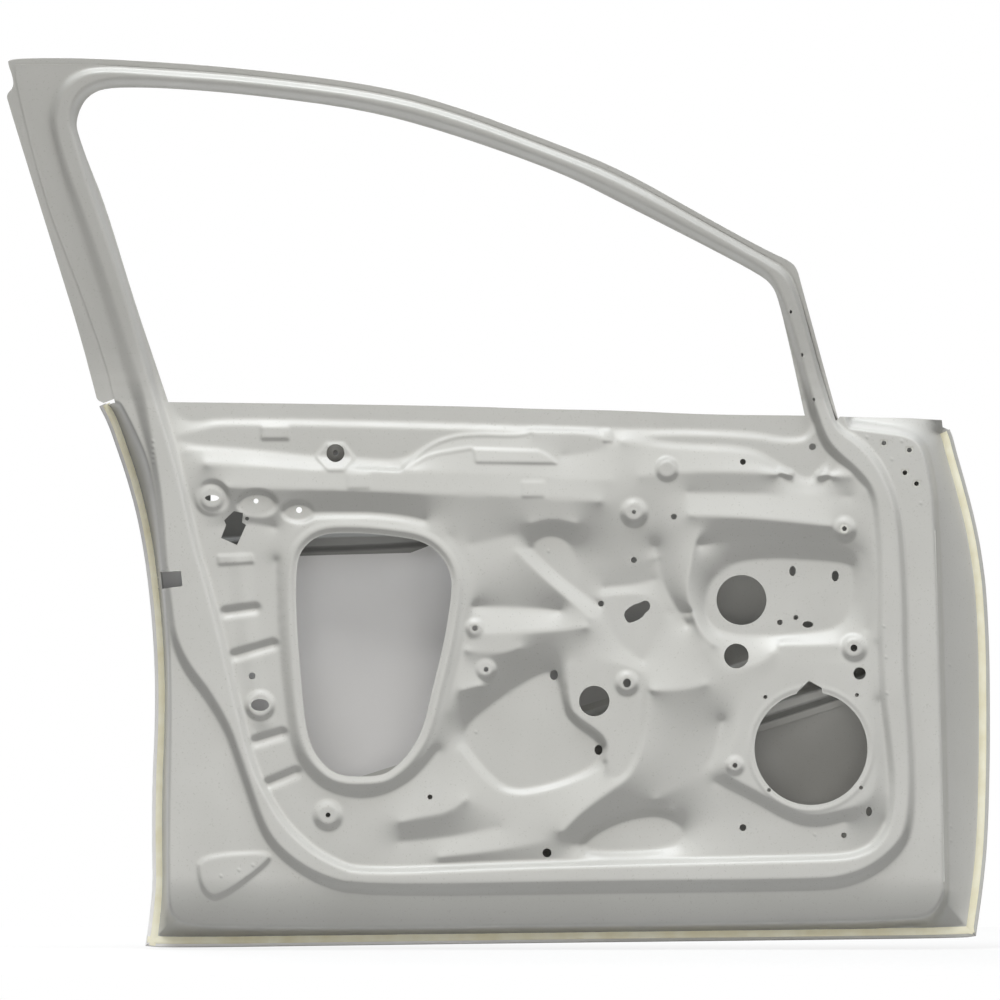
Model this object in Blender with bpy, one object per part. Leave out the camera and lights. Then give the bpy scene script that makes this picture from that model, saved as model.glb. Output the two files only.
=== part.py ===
"""Bare shell of a left front car door, seen in the model from its inner side.

X runs forward to the hinges, Y runs outboard to the skin and Z runs up. The
origin is on the lower hinge's seat. Pressed sheets are laid out in side view,
where every edge and hole is drawn, and a depth along Y is worked out for each
of their points. Outlines in side view are written in photograph pixels (P) and
turned into metres by at(). All other sizes are in metres.
"""
import math

import bmesh
import bpy
import numpy as np
from mathutils import Vector
from mathutils.geometry import delaunay_2d_cdt

# Driving sizes
DOOR_LENGTH = 1.248
DOOR_HEIGHT = 1.129
PANEL_SHEET = 0.0008
POINT_MERGE = PANEL_SHEET / 4
REINFORCEMENT_SHEET = 0.0014
BEAM_SHEET = 0.0018
SEAT_GAP = 0.0003

# Depths along Y, from the hinge seat
RIM_Y = -0.0325
SEAL_STEP = 0.010
FRONT_FOOT_Y = 0.0225
FRONT_FOOT_BLEND = 0.035
SKIN_CROWN_Y = 0.085
SKIN_TURN_UNDER = 0.036
SKIN_END_DROP = 0.016
SKIN_WIDEST_SHARE = 0.35

# Hem and sealant
HEM_GAP = 0.0004
HEM_SLOPE_ALLOWANCE = 0.0001
HEM_WIDTH = 0.009
HEM_FLAT = 0.0148
HEM_PITCH = PANEL_SHEET + HEM_GAP + HEM_SLOPE_ALLOWANCE
PANEL_EDGE_INSET = 0.0016
SEALANT_WIDTH = 0.0095
SEALANT_HEIGHT = 0.0014
SEALANT_LAP = 0.0045
SEALANT_SHOULDER_SHARE = 1 / 6

# Window frame
FRAME_LEAN_SHARE = 0.30
FRAME_RAIL_DEPTH = 0.034
WINDOW_WALL_DEPTH = 0.022
PINCH_FLANGE = 0.0035
SHEET_CLEARANCE = 0.0004

# Spacing of the points that a sheet is laid out with
EDGE_STEP = 0.030
PANEL_STEP = 0.034
SKIN_STEP = 0.070
FRAME_STEP = 0.040
GRID_CLEAR_SHARE = 0.45

# Photograph frame: the pixels that the driving sizes span, and the hinge seat
PHOTO_LEFT, PHOTO_RIGHT = 8.3, 991.4
PHOTO_TOP, PHOTO_BOTTOM = 59.6, 949.0
SEAT_PX, SEAT_PY = 946.86, 850.0

HEM_EDGE_P = [
    (98, 406), (107, 424), (114, 444), (125, 476), (136, 516), (144, 560), (150, 611), (153.6, 665),
    (154, 720), (151, 786), (151, 852), (152, 886), (148, 924), (144.5, 947), (166, 949), (360, 946.5),
    (600, 943.5), (820, 941), (963, 939), (977, 937), (980, 917), (984.5, 885), (989, 841),
    (991.4, 760), (991.4, 700), (991, 649), (988, 591), (984.5, 563), (979, 530), (969, 490),
    (958, 452), (954, 436), (951, 429),
]
FRAME_JOINT_P = [
    (115, 403), (107, 366), (80, 289), (56, 228), (44, 190), (33, 150), (24, 110), (17, 80), (17, 66),
    (90, 66), (166, 70), (240, 75.5), (362, 90), (444, 109), (560, 152), (622, 177), (703, 222),
    (764, 256), (787, 268), (796, 284), (809, 331), (822, 377), (836, 421),
]
FRAME_EDGE_P = [
    (103.6, 403), (97, 400), (95.5, 394), (80, 335), (69.6, 300), (9, 102), (8.3, 95.5), (15, 89),
    (15, 80), (10, 66), (10, 61), (38, 59.6), (93, 60), (166, 64), (240, 69.6), (362, 84), (444, 103),
    (560, 146), (622, 171), (703, 216.5), (764.5, 250), (791, 262), (797, 270), (800, 281),
    (813.5, 330), (826, 375), (837, 414),
]
RAIL_FRONT_TAB_P = [(842, 440), (822, 440)]
RAIL_REAR_TAB_P = [(178, 432), (160, 432), (150, 400), (116, 398)]
FRONT_BELT_P = [(840, 416.5), (912, 418), (943, 420), (944, 427)]
WINDOW_P = [
    (168, 402), (157, 369), (134, 300), (106, 206), (88, 161), (79, 134.5), (77, 124.6), (81, 109.6),
    (89.5, 97), (106, 89), (149, 88.6), (199, 91.4), (260, 97), (362, 110.4), (444, 132), (560, 172.7),
    (622, 204), (703, 245), (762, 276), (773, 287), (778, 299), (785, 326), (795, 369), (805, 415.5),
    (703, 414.5), (622, 410.4), (540, 409), (460, 406), (260, 403),
]
RING_TOP_P = [
    (98, 71), (166, 76.5), (240, 81.5), (362, 96), (444, 115), (560, 158), (622, 184), (703, 228),
    (760, 260), (782, 273), (792, 288), (806, 331), (818, 375), (829, 412), (838, 432), (856, 444),
    (876, 467), (889, 496), (896, 520), (901, 591), (902, 680), (907, 739), (909, 790), (905, 830),
    (893, 848), (870, 866), (845, 875), (820, 879), (600, 881), (361, 886), (318, 874), (285, 852),
    (267, 829), (251.5, 784), (240.5, 752), (231, 726), (211, 691), (189, 663), (176, 636), (172, 608),
    (165.5, 560), (163, 520), (160, 490), (156, 460), (151, 430), (147, 400), (131, 350), (115, 300),
    (106, 272), (86, 214), (70, 173), (62, 145), (58.5, 130), (58, 115), (64, 97), (76, 82),
]
RING_FOOT_P = [
    (92, 68.5), (166, 72.5), (240, 77.8), (362, 92.3), (444, 111.3), (560, 154.3), (622, 179.6),
    (703, 224.4), (763, 257.6), (785, 269.8), (794.3, 286), (807.6, 331), (820.3, 377), (832.5, 417),
    (842, 428), (862, 437), (884, 461), (897, 490), (903, 520), (908, 591), (909, 680), (914, 739),
    (916, 795), (912, 836), (898, 858), (874, 877), (848, 887), (820, 890.5), (600, 893), (360, 896),
    (315.5, 884), (279, 859), (259, 833), (243, 786), (232, 754), (223, 729), (203, 697), (182, 671),
    (170.5, 642), (167.6, 611), (162.8, 560), (160, 520), (156.5, 490), (150, 460), (141, 430),
    (132, 400), (116, 350), (99, 290), (93, 272), (75, 214), (61, 173), (53, 139.5), (50, 128),
    (49, 115), (55, 95), (66, 78),
]
RING_INNER_P = [
    (115, 79.8), (150, 80), (200, 83.5), (260, 88.5), (362, 101.5), (444, 122), (560, 163.5),
    (622, 192.5), (703, 235.2), (755, 263), (770, 273), (780, 290), (795, 331), (807, 375), (818, 415),
    (828, 440), (838, 452), (859, 469), (874, 487), (880, 507), (884, 560), (884, 640), (887, 700),
    (893, 745), (897, 790), (893, 825), (881, 846), (863, 857), (843, 861), (820, 862), (600, 867),
    (500, 870), (360, 876), (332, 866), (307, 851), (279, 823), (262.5, 793), (250, 768.6),
    (235.7, 713), (223, 658), (203.6, 583), (196, 560), (187.5, 526), (178.6, 485), (168, 444),
    (157, 410), (150, 386), (140, 350), (126, 300), (112, 254), (95, 205), (82, 165), (75, 140),
    (70, 124), (71.5, 108), (80, 93), (95, 84),
]
REAR_WALL_CROWN_P = [
    (119, 404), (123, 411), (133, 430), (146.5, 460), (153.5, 490), (157, 520), (160.5, 560),
    (164.6, 611), (167.2, 642), (168.4, 683), (168.6, 754), (167, 820), (167, 869), (168, 910),
    (178, 922), (199.5, 927), (360, 928.5), (600, 925.5), (820, 922.5), (905, 920),
]
FRONT_WALL_CROWN_P = [
    (925, 918), (936, 911), (943, 900), (946, 884), (936.5, 520), (929, 467), (920, 442), (905, 434),
    (880, 431), (850, 427),
]
FRONT_WALL_FOOT_P = [
    (928, 924), (940, 916), (947, 904), (949.5, 884), (940, 520), (934, 466), (925, 438), (907, 428.5),
    (880, 425), (850, 421.5),
]
PAST_FRAME_P = [(843, 400), (1010, 395), (1010, 30), (0, 30), (0, 398)]
PAST_BELT_P = [(1010, 420), (1010, 30), (0, 30), (0, 404)]
FRONT_FOOT_P = [(800, 395), (1010, 395), (1010, 960), (934, 960), (934, 480), (800, 480)]
LEAN_BREAKS_P = (400, 386, 372, 354)
LEAN_SPANS_P = ((70, 185), (780, 845))
SKIN_TOP_ROW_P = 409
LATCH_WALL_END_P = 905
WINDOW_CORNER_P = (805, 415.5)

ACCESS_P = [
    (296, 567), (302, 548), (321, 533.5), (356, 532.5), (394, 536), (423, 541), (442, 555.5),
    (452, 576.5), (451, 599.5), (444, 643.5), (432, 691), (423, 730), (409, 754), (390, 772),
    (375, 776.5), (342, 776.5), (327, 768), (314, 752.5), (306, 730), (301, 682), (296, 615),
]
ACCESS_RIM_P = [
    (282, 565), (289, 542), (302, 525), (321, 519), (356, 518), (394, 521), (423, 528), (446, 540),
    (463, 565), (467, 586), (461, 634), (451, 672), (442, 710), (432, 747), (409, 774), (382, 788),
    (356, 791), (333, 785), (314, 772), (298, 749), (292.5, 710), (285, 643.5),
]
SPEAKER_PLATEAU_P = [
    (776, 667.5), (837, 659.5), (862, 676), (876, 720), (878, 760), (876, 798), (841, 812), (814, 817.5),
    (791, 812), (751, 789), (723, 775), (732, 750), (742.5, 705), (760, 680),
]
MOTOR_PLATE_P = [
    (746, 556), (847, 561), (853.6, 568), (850.6, 626), (800, 636), (725, 636), (706, 622), (704, 599),
    (712, 576),
]
KIDNEY_P = [
    (465, 721), (543, 669), (557, 673), (565.5, 709), (572, 721), (599, 739), (605, 750), (595, 767.5),
    (552, 785), (509, 792), (485, 771), (465, 745),
]
BELT_FLANGE_P = [
    (158, 380), (815, 380), (812, 434), (792, 440), (744, 431), (602, 428.6), (460, 424), (223, 418),
    (193, 424), (177, 417),
]
BELT_STEP_P = [
    (160, 380), (820, 380), (826, 448), (801, 480), (767, 458), (744, 449), (660, 446), (600, 452),
    (559, 462), (540, 441), (522, 434), (460, 435), (435, 440), (410, 464), (353, 461), (305, 457),
    (251, 452), (189, 448), (171, 436),
]
BELT_SHELF_P = [
    (187, 466), (251, 462), (305, 466), (353, 470), (403, 472), (430, 461), (545, 459), (565, 470),
    (640, 474), (648, 498), (560, 502), (480, 506), (400, 502), (300, 498), (207, 492),
]
FRONT_SHELF_P = [(684, 493), (840, 494), (858, 505), (858, 540), (845, 548), (825, 520), (690, 516)]
LOWER_POCKET_P = [
    (579, 846), (599, 830), (625, 819), (652, 814), (670, 817), (688, 834), (670, 850), (600, 854),
]
CENTRE_RIDGE_P = [
    (514, 512), (560, 508), (590, 540), (600, 580), (655, 590), (668, 619), (652, 680), (650, 741),
    (631, 775), (581, 814), (559, 835), (546, 815), (600, 780), (618, 745), (600, 700), (585, 640),
    (560, 600), (530, 560),
]
CORNER_EMBOSS_P = [(199.5, 858), (266, 853), (270, 860), (219, 898), (206, 893), (200, 876)]
LATCH_OPENING_P = [(159.6, 572), (181, 571), (182.5, 586), (161.2, 589)]
LOCK_OPENING_P = [
    (234, 511), (243, 513), (242, 522.5), (246, 525), (237, 545), (221, 538), (226, 525), (224, 520.5),
]
PULL_OPENING_P = [(623, 613), (627, 622), (642, 618), (650, 609.5), (650, 603), (642, 600), (632.5, 605)]
MIRROR_WINDOWS_P = [(884, 443), (909.5, 450), (905, 472.7), (916.6, 483.6)]
BEADS_P = [
    ((222, 613), (259, 609)), ((231, 656), (277, 645)), ((252, 742), (286, 734)), ((263, 786), (300, 772)),
]
HANDLE_HOLE_P = (234, 494)
HANDLE_PIVOT_P = (303, 506)
SKIN_BELT_P = [(942, 426), (840, 421), (600, 415), (300, 409.5), (160, 408)]
HANDLE_PLATE_P = [(180, 468), (440, 462), (447, 500), (447, 552), (300, 556), (182, 560)]
HANDLE_BEAD_P = [(196, 542), (436, 534), (437, 543), (198, 551)]
MIRROR_PLATE_P = [
    (868, 435), (903, 437), (917, 444), (926, 472), (932, 507), (908, 507), (902, 487), (889, 464),
    (876, 449),
]
BELT_RAIL_OUTER_P = [(930, 428), (840, 424.5), (600, 418), (300, 413), (160, 411.5)]
BELT_RAIL_INNER_P = [(776, 418.5), (700, 417), (620, 413), (460, 409), (260, 406), (200, 405.5)]
BELT_BRACKET_P = [(323, 428), (349, 428), (349, 474), (323, 474)]
HINGE_ROWS_P = (530, 600, 700, 800, 882)
HINGE_CENTRES_P = {"upper": 560, "lower": 850}
CHECK_STRAP_ROW_P = 730
LATCH_ROWS_P = (532, 566, 596, 612)
MASTIC_SHARES = (0.22, 0.5, 0.78)
NUT_HOLES_P = [(475, 628), (486, 669.5), (634, 512), (844.4, 528.6)]

# Holes of the inner pressing: side-view place in pixels and bore in metres
SPEAKER_P, SPEAKER_BORE, SPEAKER_SIDES = (811, 748.5), 0.1435, 32
MOTOR_P, MOTOR_BORE, MOTOR_SIDES = (741.6, 600), 0.0635, 20
CHECK_P, CHECK_BORE, CHECK_SIDES = (736.4, 656), 0.031, 12
CABLE_P, CABLE_BORE, CABLE_SIDES = (594.3, 701), 0.0386, 12
BRACKET_P, BRACKET_BORE, BRACKET_SIDES = (335.4, 453), 0.0229, 10
PLUG_BORE, PLUG_SIDES = 0.0156, 8
PLUG_HOLES_P = [(859.6, 673.4), (547, 853), (260, 705)]
CLIP_BORE, CLIP_SIDES = 0.0080, 6
CLIP_HOLES_P = [
    (256, 501), (299, 510), (212, 498), (252, 676), (430, 797), (601, 603.6), (634, 560), (674, 516.6),
    (743, 461.8), (812.6, 446.7), (743, 827.7), (869, 811.6), (844, 835.4), (598.6, 750),
]
BOSS_BORE, BOSS_SIDES = 0.0066, 6
BOSS_TOP_RADIUS = 0.0092
BOSS_RADIUS = 0.0185
BOSS_HEIGHT = 0.004
BOSS_HOLES_P = [(328, 815), (475, 628), (486, 669.5), (634, 512), (844.4, 528.6), (854, 648), (627, 683)]
OVAL_SLOTS_P = [(792.7, 571), (835.4, 576)]
OVAL_BORE, OVAL_SIDES = 0.0105, 6
OVAL_STRETCH_SHARE = 1.3
OCTAGON_SIDES = 8
OCTAGON_START = math.radians(225)

# Levels of the inner pressing's field, outboard of the ring's top
FIELD_DEPTH = 0.013
FIELD_WALL = 0.010
STEP_DEPTH = 0.017
SHELF_DEPTH = 0.003
RIM_DEPTH = 0.005
SPEAKER_DEPTH = 0.004
MOTOR_DEPTH = 0.017
KIDNEY_DEPTH = 0.021
RIDGE_DEPTH = 0.003
POCKET_DEPTH = 0.024
EMBOSS_HEIGHT = 0.003
BEAD_DEPTH = 0.004
BEAD_WIDTH = 0.014
SOFT_WALL = 0.022
CRISP_WALL = 0.007
EMBOSS_WALL = 0.004

# Skin openings for the outer handle
HANDLE_HOLE = (0.062, 0.030)
HANDLE_PIVOT = (0.028, 0.020)

# Beam and its brackets
BEAM_REAR_P, BEAM_FRONT_P = (206, 868), (918, 641)
BEAM_WIDTH = 0.100
BEAM_DEPTH = 0.026
BEAM_FLANGE = 0.010
BEAM_VALLEY = 0.030
BEAM_WALL = 0.006
BEAM_STEP = 0.085
BEAM_SKIN_GAP = 0.010
BRACKET_LENGTH = 0.085
BRACKET_TURN = 0.010
BRACKET_ROW_SHARES = (0.43, 0, -0.43)
BRACKET_FRONT_SHARES = (0.80, 0.35)
BRACKET_REAR_SHARES = (0.78, 0.50)
MASTIC_RADIUS = 0.011
MASTIC_SIDES = 10

# Reinforcements
BELT_RAIL_FLANGE = 0.014
BELT_RAIL_HEIGHT = 0.042
BELT_RAIL_DEPTH = 0.011
BELT_RAIL_WALL = 0.003
HANDLE_BEAD_HEIGHT = 0.006
WALL_CLEARANCE = 0.0006
HINGE_FLANGE = 0.016
HINGE_FOOT_SHARE = 0.95
HINGE_PLATE_SHARE = 0.52
HINGE_PLATE = (0.036, 0.070)
HINGE_PLATE_THICKNESS = 0.006
CHECK_PLATE = (0.034, 0.046)
CHECK_PLATE_THICKNESS = 0.003
LATCH_FLANGE_OUTER = 0.040
LATCH_FLANGE_INNER = 0.030
LATCH_FLANGE_NEAR = 0.0115
LATCH_WALL_SHARES = (0.55, 0.85)
LEDGE_CLEARANCE = 0.0035

# Nuts
NUT_ACROSS = 0.013
NUT_HEIGHT = 0.007
NUT_BORE = 0.0064
CAGE_WINDOW = 0.0100
CAGE_NUT = 0.0118
CAGE_NUT_HEIGHT = 0.0045
CAGE_OPENING = 0.0130

PRIMER = (0.50, 0.51, 0.48)
PRIMER_SHADE = (0.42, 0.42, 0.39)
BARE_STEEL = (0.36, 0.36, 0.35)
SEALANT_COLOUR = (0.86, 0.82, 0.64)
MASTIC_COLOUR = (0.06, 0.06, 0.06)
SMOOTH_ANGLE = math.radians(35)


# Layout in side view

def at(pixel):
    """Side-view place (x, z) in metres of a photograph pixel."""
    across = DOOR_LENGTH / (PHOTO_RIGHT - PHOTO_LEFT)
    up = DOOR_HEIGHT / (PHOTO_BOTTOM - PHOTO_TOP)
    return ((pixel[0] - SEAT_PX) * across, (SEAT_PY - pixel[1]) * up)


def trace(pixels):
    return np.array([at(pixel) for pixel in pixels])


def resample(path, step, closed=True):
    """The path with its long runs divided, so that no run is longer than the step."""
    ends = np.roll(path, -1, axis=0) if closed else path[1:]
    points = []
    for start, end in zip(path, ends):
        parts = max(1, math.ceil(float(np.linalg.norm(end - start)) / step))
        points += [start + (end - start) * part / parts for part in range(parts)]
    if not closed:
        points.append(path[-1])
    return np.array(points)


def offset_path(path, distance, closed=True):
    """The path moved to its left by the distance, with mitred corners."""
    before = np.roll(path, 1, axis=0)
    after = np.roll(path, -1, axis=0)
    if not closed:
        before[0] = path[0] - (path[1] - path[0])
        after[-1] = path[-1] + (path[-1] - path[-2])
    incoming = path - before
    outgoing = after - path
    incoming /= np.linalg.norm(incoming, axis=1, keepdims=True)
    outgoing /= np.linalg.norm(outgoing, axis=1, keepdims=True)
    left_in = np.column_stack([-incoming[:, 1], incoming[:, 0]])
    left_out = np.column_stack([-outgoing[:, 1], outgoing[:, 0]])
    middle = left_in + left_out
    return path + 2 * distance * middle / (middle * middle).sum(axis=1, keepdims=True)


def distance_to(points, path, closed=True):
    nearest = np.full(len(points), np.inf)
    ends = np.roll(path, -1, axis=0) if closed else path[1:]
    for start, end in zip(path, ends):
        run = end - start
        share = np.clip((points - start) @ run / (run @ run), 0, 1)
        nearest = np.minimum(nearest, np.linalg.norm(points - start - share[:, None] * run, axis=1))
    return nearest


def is_inside(points, loop):
    inside = np.zeros(len(points), dtype=bool)
    x, z = points.T
    for (ax, az), (bx, bz) in zip(loop, np.roll(loop, -1, axis=0)):
        if az != bz:
            crosses = (az > z) != (bz > z)
            inside ^= crosses & (x < (bx - ax) * (z - az) / (bz - az) + ax)
    return inside


def distance_outside(points, loop):
    return np.where(is_inside(points, loop), 0, distance_to(points, loop))


def distance_within(points, loop):
    return np.where(is_inside(points, loop), distance_to(points, loop), 0)


def ease(share):
    share = np.clip(share, 0, 1)
    return share * share * (3 - 2 * share)


def between(points, inner, outer):
    """0 inside the inner loop, 1 outside the outer loop, and eased from one to the other."""
    from_inner = distance_outside(points, inner)
    to_outer = distance_within(points, outer)
    total = from_inner + to_outer
    return ease(np.divide(from_inner, total, out=np.zeros_like(total), where=total > 0))


def mix(first, second, share):
    return first + (second - first) * share


def circle(pixel, bore, sides, stretch=1):
    centre = np.array(at(pixel))
    angles = np.arange(sides) * math.tau / sides + math.pi / sides
    ring = np.column_stack([np.cos(angles), stretch * np.sin(angles)]) * bore / 2
    return centre + ring


def rectangle(centre, size):
    half = np.array(size) / 2
    return np.array(centre) + half * np.array([(-1, -1), (1, -1), (1, 1), (-1, 1)])


def bead_loop(ends, width):
    start, end = trace(ends)
    along = (end - start) / np.linalg.norm(end - start)
    side = np.array([-along[1], along[0]]) * width / 2
    tip = along * width / 2
    return np.array([start - tip, start - side, end - side, end + tip, end + side, start + side])


# The door's surfaces: depth along Y of points (x, z)

HEM_EDGE = resample(trace(HEM_EDGE_P), EDGE_STEP, closed=False)
WINDOW = trace(WINDOW_P)
RING_TOP = trace(RING_TOP_P)
RING_FOOT = trace(RING_FOOT_P)
RING_INNER = trace(RING_INNER_P)
WALL_CROWN = trace(REAR_WALL_CROWN_P + FRONT_WALL_CROWN_P + PAST_FRAME_P)
HEM_LINE = offset_path(HEM_EDGE, HEM_FLAT, closed=False)
FRONT_END = at(REAR_WALL_CROWN_P[-1])[0]
REAR_WALL_FOOT = HEM_LINE[HEM_LINE[:, 0] <= FRONT_END]
FRONT_HEM_LINE = HEM_LINE[HEM_LINE[:, 0] > FRONT_END]
WALL_FOOT = np.vstack([REAR_WALL_FOOT, trace(FRONT_WALL_FOOT_P + PAST_FRAME_P)])
HEM_LINE_CLOSED = np.vstack([HEM_LINE, trace(FRONT_BELT_P[-1:] + PAST_BELT_P)])
BELT_TOP = at(WINDOW_P[0])[1]
SKIN_TOP = at((0, SKIN_TOP_ROW_P))[1]
SKIN_BOTTOM = at((0, PHOTO_BOTTOM))[1]
LEAN_FOLDS = [
    trace([(left, row), (right, row)]) for row in LEAN_BREAKS_P for left, right in LEAN_SPANS_P
]
FRONT_FOOT_AREA = trace(FRONT_FOOT_P)


def skin_depth(points):
    """Outer face of the skin: crowned, turned under at the bottom and falling off at both ends."""
    x, z = points.T
    drop_share = (SKIN_TOP - z) / (SKIN_TOP - SKIN_BOTTOM) - SKIN_WIDEST_SHARE
    turn_under = SKIN_TURN_UNDER * (drop_share / (1 - SKIN_WIDEST_SHARE)) ** 2
    middle = (at((PHOTO_LEFT, 0))[0] + at((PHOTO_RIGHT, 0))[0]) / 2
    end_share = (x - middle) / (DOOR_LENGTH / 2)
    return SKIN_CROWN_Y - turn_under - SKIN_END_DROP * end_share ** 2


def frame_lean(points):
    """The window frame leans inboard; the bend at the belt is spread over a few short folds."""
    lean = np.zeros(len(points))
    fold = FRAME_LEAN_SHARE / len(LEAN_BREAKS_P)
    for row in LEAN_BREAKS_P:
        lean -= fold * np.maximum(0, points[:, 1] - at((0, row))[1])
    return lean


def hem_depth(points):
    return skin_depth(points) - PANEL_SHEET - HEM_PITCH


def foot_depth(points):
    """Foot of the outer walls: on the hem, but further inboard along the hinge wall."""
    return raise_area(hem_depth(points), points, FRONT_FOOT_AREA, FRONT_FOOT_Y, FRONT_FOOT_BLEND)


def raise_area(depth, points, outline, level, wall):
    """Presses the area inside the outline to a level, with a wall of that width round it."""
    share = ease(1 - distance_outside(points, outline) / wall)
    return mix(depth, level, share)


def pressed_field(points):
    """Field inside the ring without its bosses, outboard of the ring's top."""
    depth = np.full(len(points), FIELD_DEPTH)
    for outline, level, wall in FIELD_AREAS:
        depth = raise_area(depth, points, outline, level, wall)
    for outline in BEADS:
        depth += BEAD_DEPTH * ease(1 - distance_outside(points, outline) / EMBOSS_WALL)
    return depth


def field_depth(points):
    """The field with its bosses, each flat on top."""
    depth = pressed_field(points)
    for centre in BOSSES:
        top = pressed_field(centre[None, :])[0] - BOSS_HEIGHT
        reach = np.linalg.norm(points - centre, axis=1)
        depth = mix(depth, top, ease((BOSS_RADIUS - reach) / (BOSS_RADIUS - BOSS_TOP_RADIUS)))
    return depth


ACCESS = trace(ACCESS_P)
ACCESS_RIM = trace(ACCESS_RIM_P)
FIELD_AREAS = [
    (trace(BELT_SHELF_P), SHELF_DEPTH, SOFT_WALL),
    (trace(FRONT_SHELF_P), SHELF_DEPTH, SOFT_WALL),
    (trace(BELT_STEP_P), STEP_DEPTH, CRISP_WALL),
    (trace(BELT_FLANGE_P), WINDOW_WALL_DEPTH, CRISP_WALL),
    (trace(CENTRE_RIDGE_P), RIDGE_DEPTH, SOFT_WALL),
    (trace(LOWER_POCKET_P), POCKET_DEPTH, CRISP_WALL),
    (trace(KIDNEY_P), KIDNEY_DEPTH, CRISP_WALL),
    (trace(MOTOR_PLATE_P), MOTOR_DEPTH, CRISP_WALL),
    (trace(SPEAKER_PLATEAU_P), SPEAKER_DEPTH, CRISP_WALL),
    (ACCESS_RIM, RIM_DEPTH, CRISP_WALL),
]
BEADS = [bead_loop(ends, BEAD_WIDTH) for ends in BEADS_P]
BOSSES = [np.array(at(pixel)) for pixel in BOSS_HOLES_P]
CORNER_EMBOSS = trace(CORNER_EMBOSS_P)


def panel_depth(points):
    """Visible face of the inner pressing."""
    inward = distance_within(points, RING_INNER)
    depth = RIM_Y + SEAL_STEP * between(points, RING_TOP, RING_FOOT)
    window_share = ease((points[:, 1] - BELT_TOP) / EDGE_STEP)
    inner_level = mix(field_depth(points), WINDOW_WALL_DEPTH, window_share)
    depth = depth + inner_level * ease(inward / FIELD_WALL)
    depth -= EMBOSS_HEIGHT * ease(1 - distance_outside(points, CORNER_EMBOSS) / EMBOSS_WALL)
    depth += frame_lean(points)
    depth = mix(depth, foot_depth(points), between(points, WALL_CROWN, WALL_FOOT))
    return mix(depth, hem_depth(points), between(points, WALL_FOOT, HEM_LINE_CLOSED))


def rail_depth(points):
    """Inboard face of the window frame's outer half, which lies behind the inner pressing."""
    clearance = PANEL_SHEET + SHEET_CLEARANCE
    flange = RIM_Y + SEAL_STEP + clearance
    bottom = RIM_Y + FRAME_RAIL_DEPTH
    pinch = RIM_Y + WINDOW_WALL_DEPTH + clearance
    depth = mix(bottom, flange, between(points, RING_TOP, RING_FOOT))
    near_window = ease(1 - (distance_to(points, WINDOW) - PINCH_FLANGE) / PINCH_FLANGE)
    return mix(depth, pinch, near_window) + frame_lean(points)


# Sheets

def background_grid(outline, holes, spacing, occupied):
    low, high = outline.min(axis=0), outline.max(axis=0)
    columns = np.arange(low[0], high[0], spacing)
    rows = np.arange(low[1], high[1], spacing * math.sqrt(3) / 2)
    shifted = [columns + (index % 2) * spacing / 2 for index in range(len(rows))]
    grid = np.array([(x, z) for line, z in zip(shifted, rows) for x in line])
    grid = grid[is_inside(grid, outline)]
    for hole in holes:
        grid = grid[~is_inside(grid, hole)]
    clear = spacing * GRID_CLEAR_SHARE
    for path, closed in occupied:
        grid = grid[distance_to(grid, path, closed) > clear]
    return grid


def lay_out(outline, holes, creases, spacing):
    """Triangles over the outline less its holes, with an edge along every crease."""
    paths = [(outline, True)] + [(hole, True) for hole in holes] + creases
    grid = background_grid(outline, holes, spacing, paths)
    points, edges = [], []
    for path, closed in paths:
        first = len(points)
        points += list(path)
        last = len(points) - 1
        edges += [(index, index + 1) for index in range(first, last)]
        if closed:
            edges.append((last, first))
    points += list(grid)
    inside_outline = 1
    result = delaunay_2d_cdt([Vector(p) for p in points], edges, [], inside_outline, POINT_MERGE)
    flat = np.array([tuple(v) for v in result[0]])
    triangles = np.array([tuple(face) for face in result[2]])
    centres = flat[triangles].mean(axis=1)
    keep = is_inside(centres, outline)
    for hole in holes:
        keep &= ~is_inside(centres, hole)
    return flat, triangles[keep]


def sheet_mesh(outline, holes, creases, spacing, depth_of, outboard=False):
    """One face of a sheet, facing inboard, or outboard where that is asked for."""
    flat, triangles = lay_out(outline, holes, creases, spacing)
    depth = depth_of(flat)
    mesh = bmesh.new()
    verts = [mesh.verts.new((x, y, z)) for (x, z), y in zip(flat, depth)]
    for triangle in triangles:
        corners = [verts[index] for index in triangle]
        face = mesh.faces.new(corners)
        face.normal_update()
        if (face.normal.y > 0) != outboard:
            face.normal_flip()
    loose = [vert for vert in mesh.verts if not vert.link_faces]
    bmesh.ops.delete(mesh, geom=loose, context="VERTS")
    return mesh


def thicken(piece, thickness):
    """Gives the sheet its thickness, behind the face that was modelled."""
    solidify = piece.modifiers.new("Sheet thickness", "SOLIDIFY")
    solidify.thickness = thickness
    solidify.offset = -1
    solidify.use_even_offset = True
    solidify.use_quality_normals = True


def add_piece(name, mesh, colour, roughness=0.5, metallic=0.0):
    data = bpy.data.meshes.new(name)
    mesh.to_mesh(data)
    mesh.free()
    data.shade_smooth()
    data.set_sharp_from_angle(angle=SMOOTH_ANGLE)
    piece = bpy.data.objects.new(name, data)
    bpy.context.collection.objects.link(piece)
    material = bpy.data.materials.new(name)
    material.use_nodes = True
    shader = material.node_tree.nodes["Principled BSDF"]
    shader.inputs["Base Color"].default_value = (*colour, 1)
    shader.inputs["Roughness"].default_value = roughness
    shader.inputs["Metallic"].default_value = metallic
    data.materials.append(material)
    return piece


# Pieces

def panel_outline():
    hem = offset_path(HEM_EDGE, PANEL_EDGE_INSET, closed=False)
    frame = resample(trace(FRAME_JOINT_P), PANEL_STEP, closed=False)
    return np.vstack([frame, trace(FRONT_BELT_P), hem[::-1]])


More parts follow.
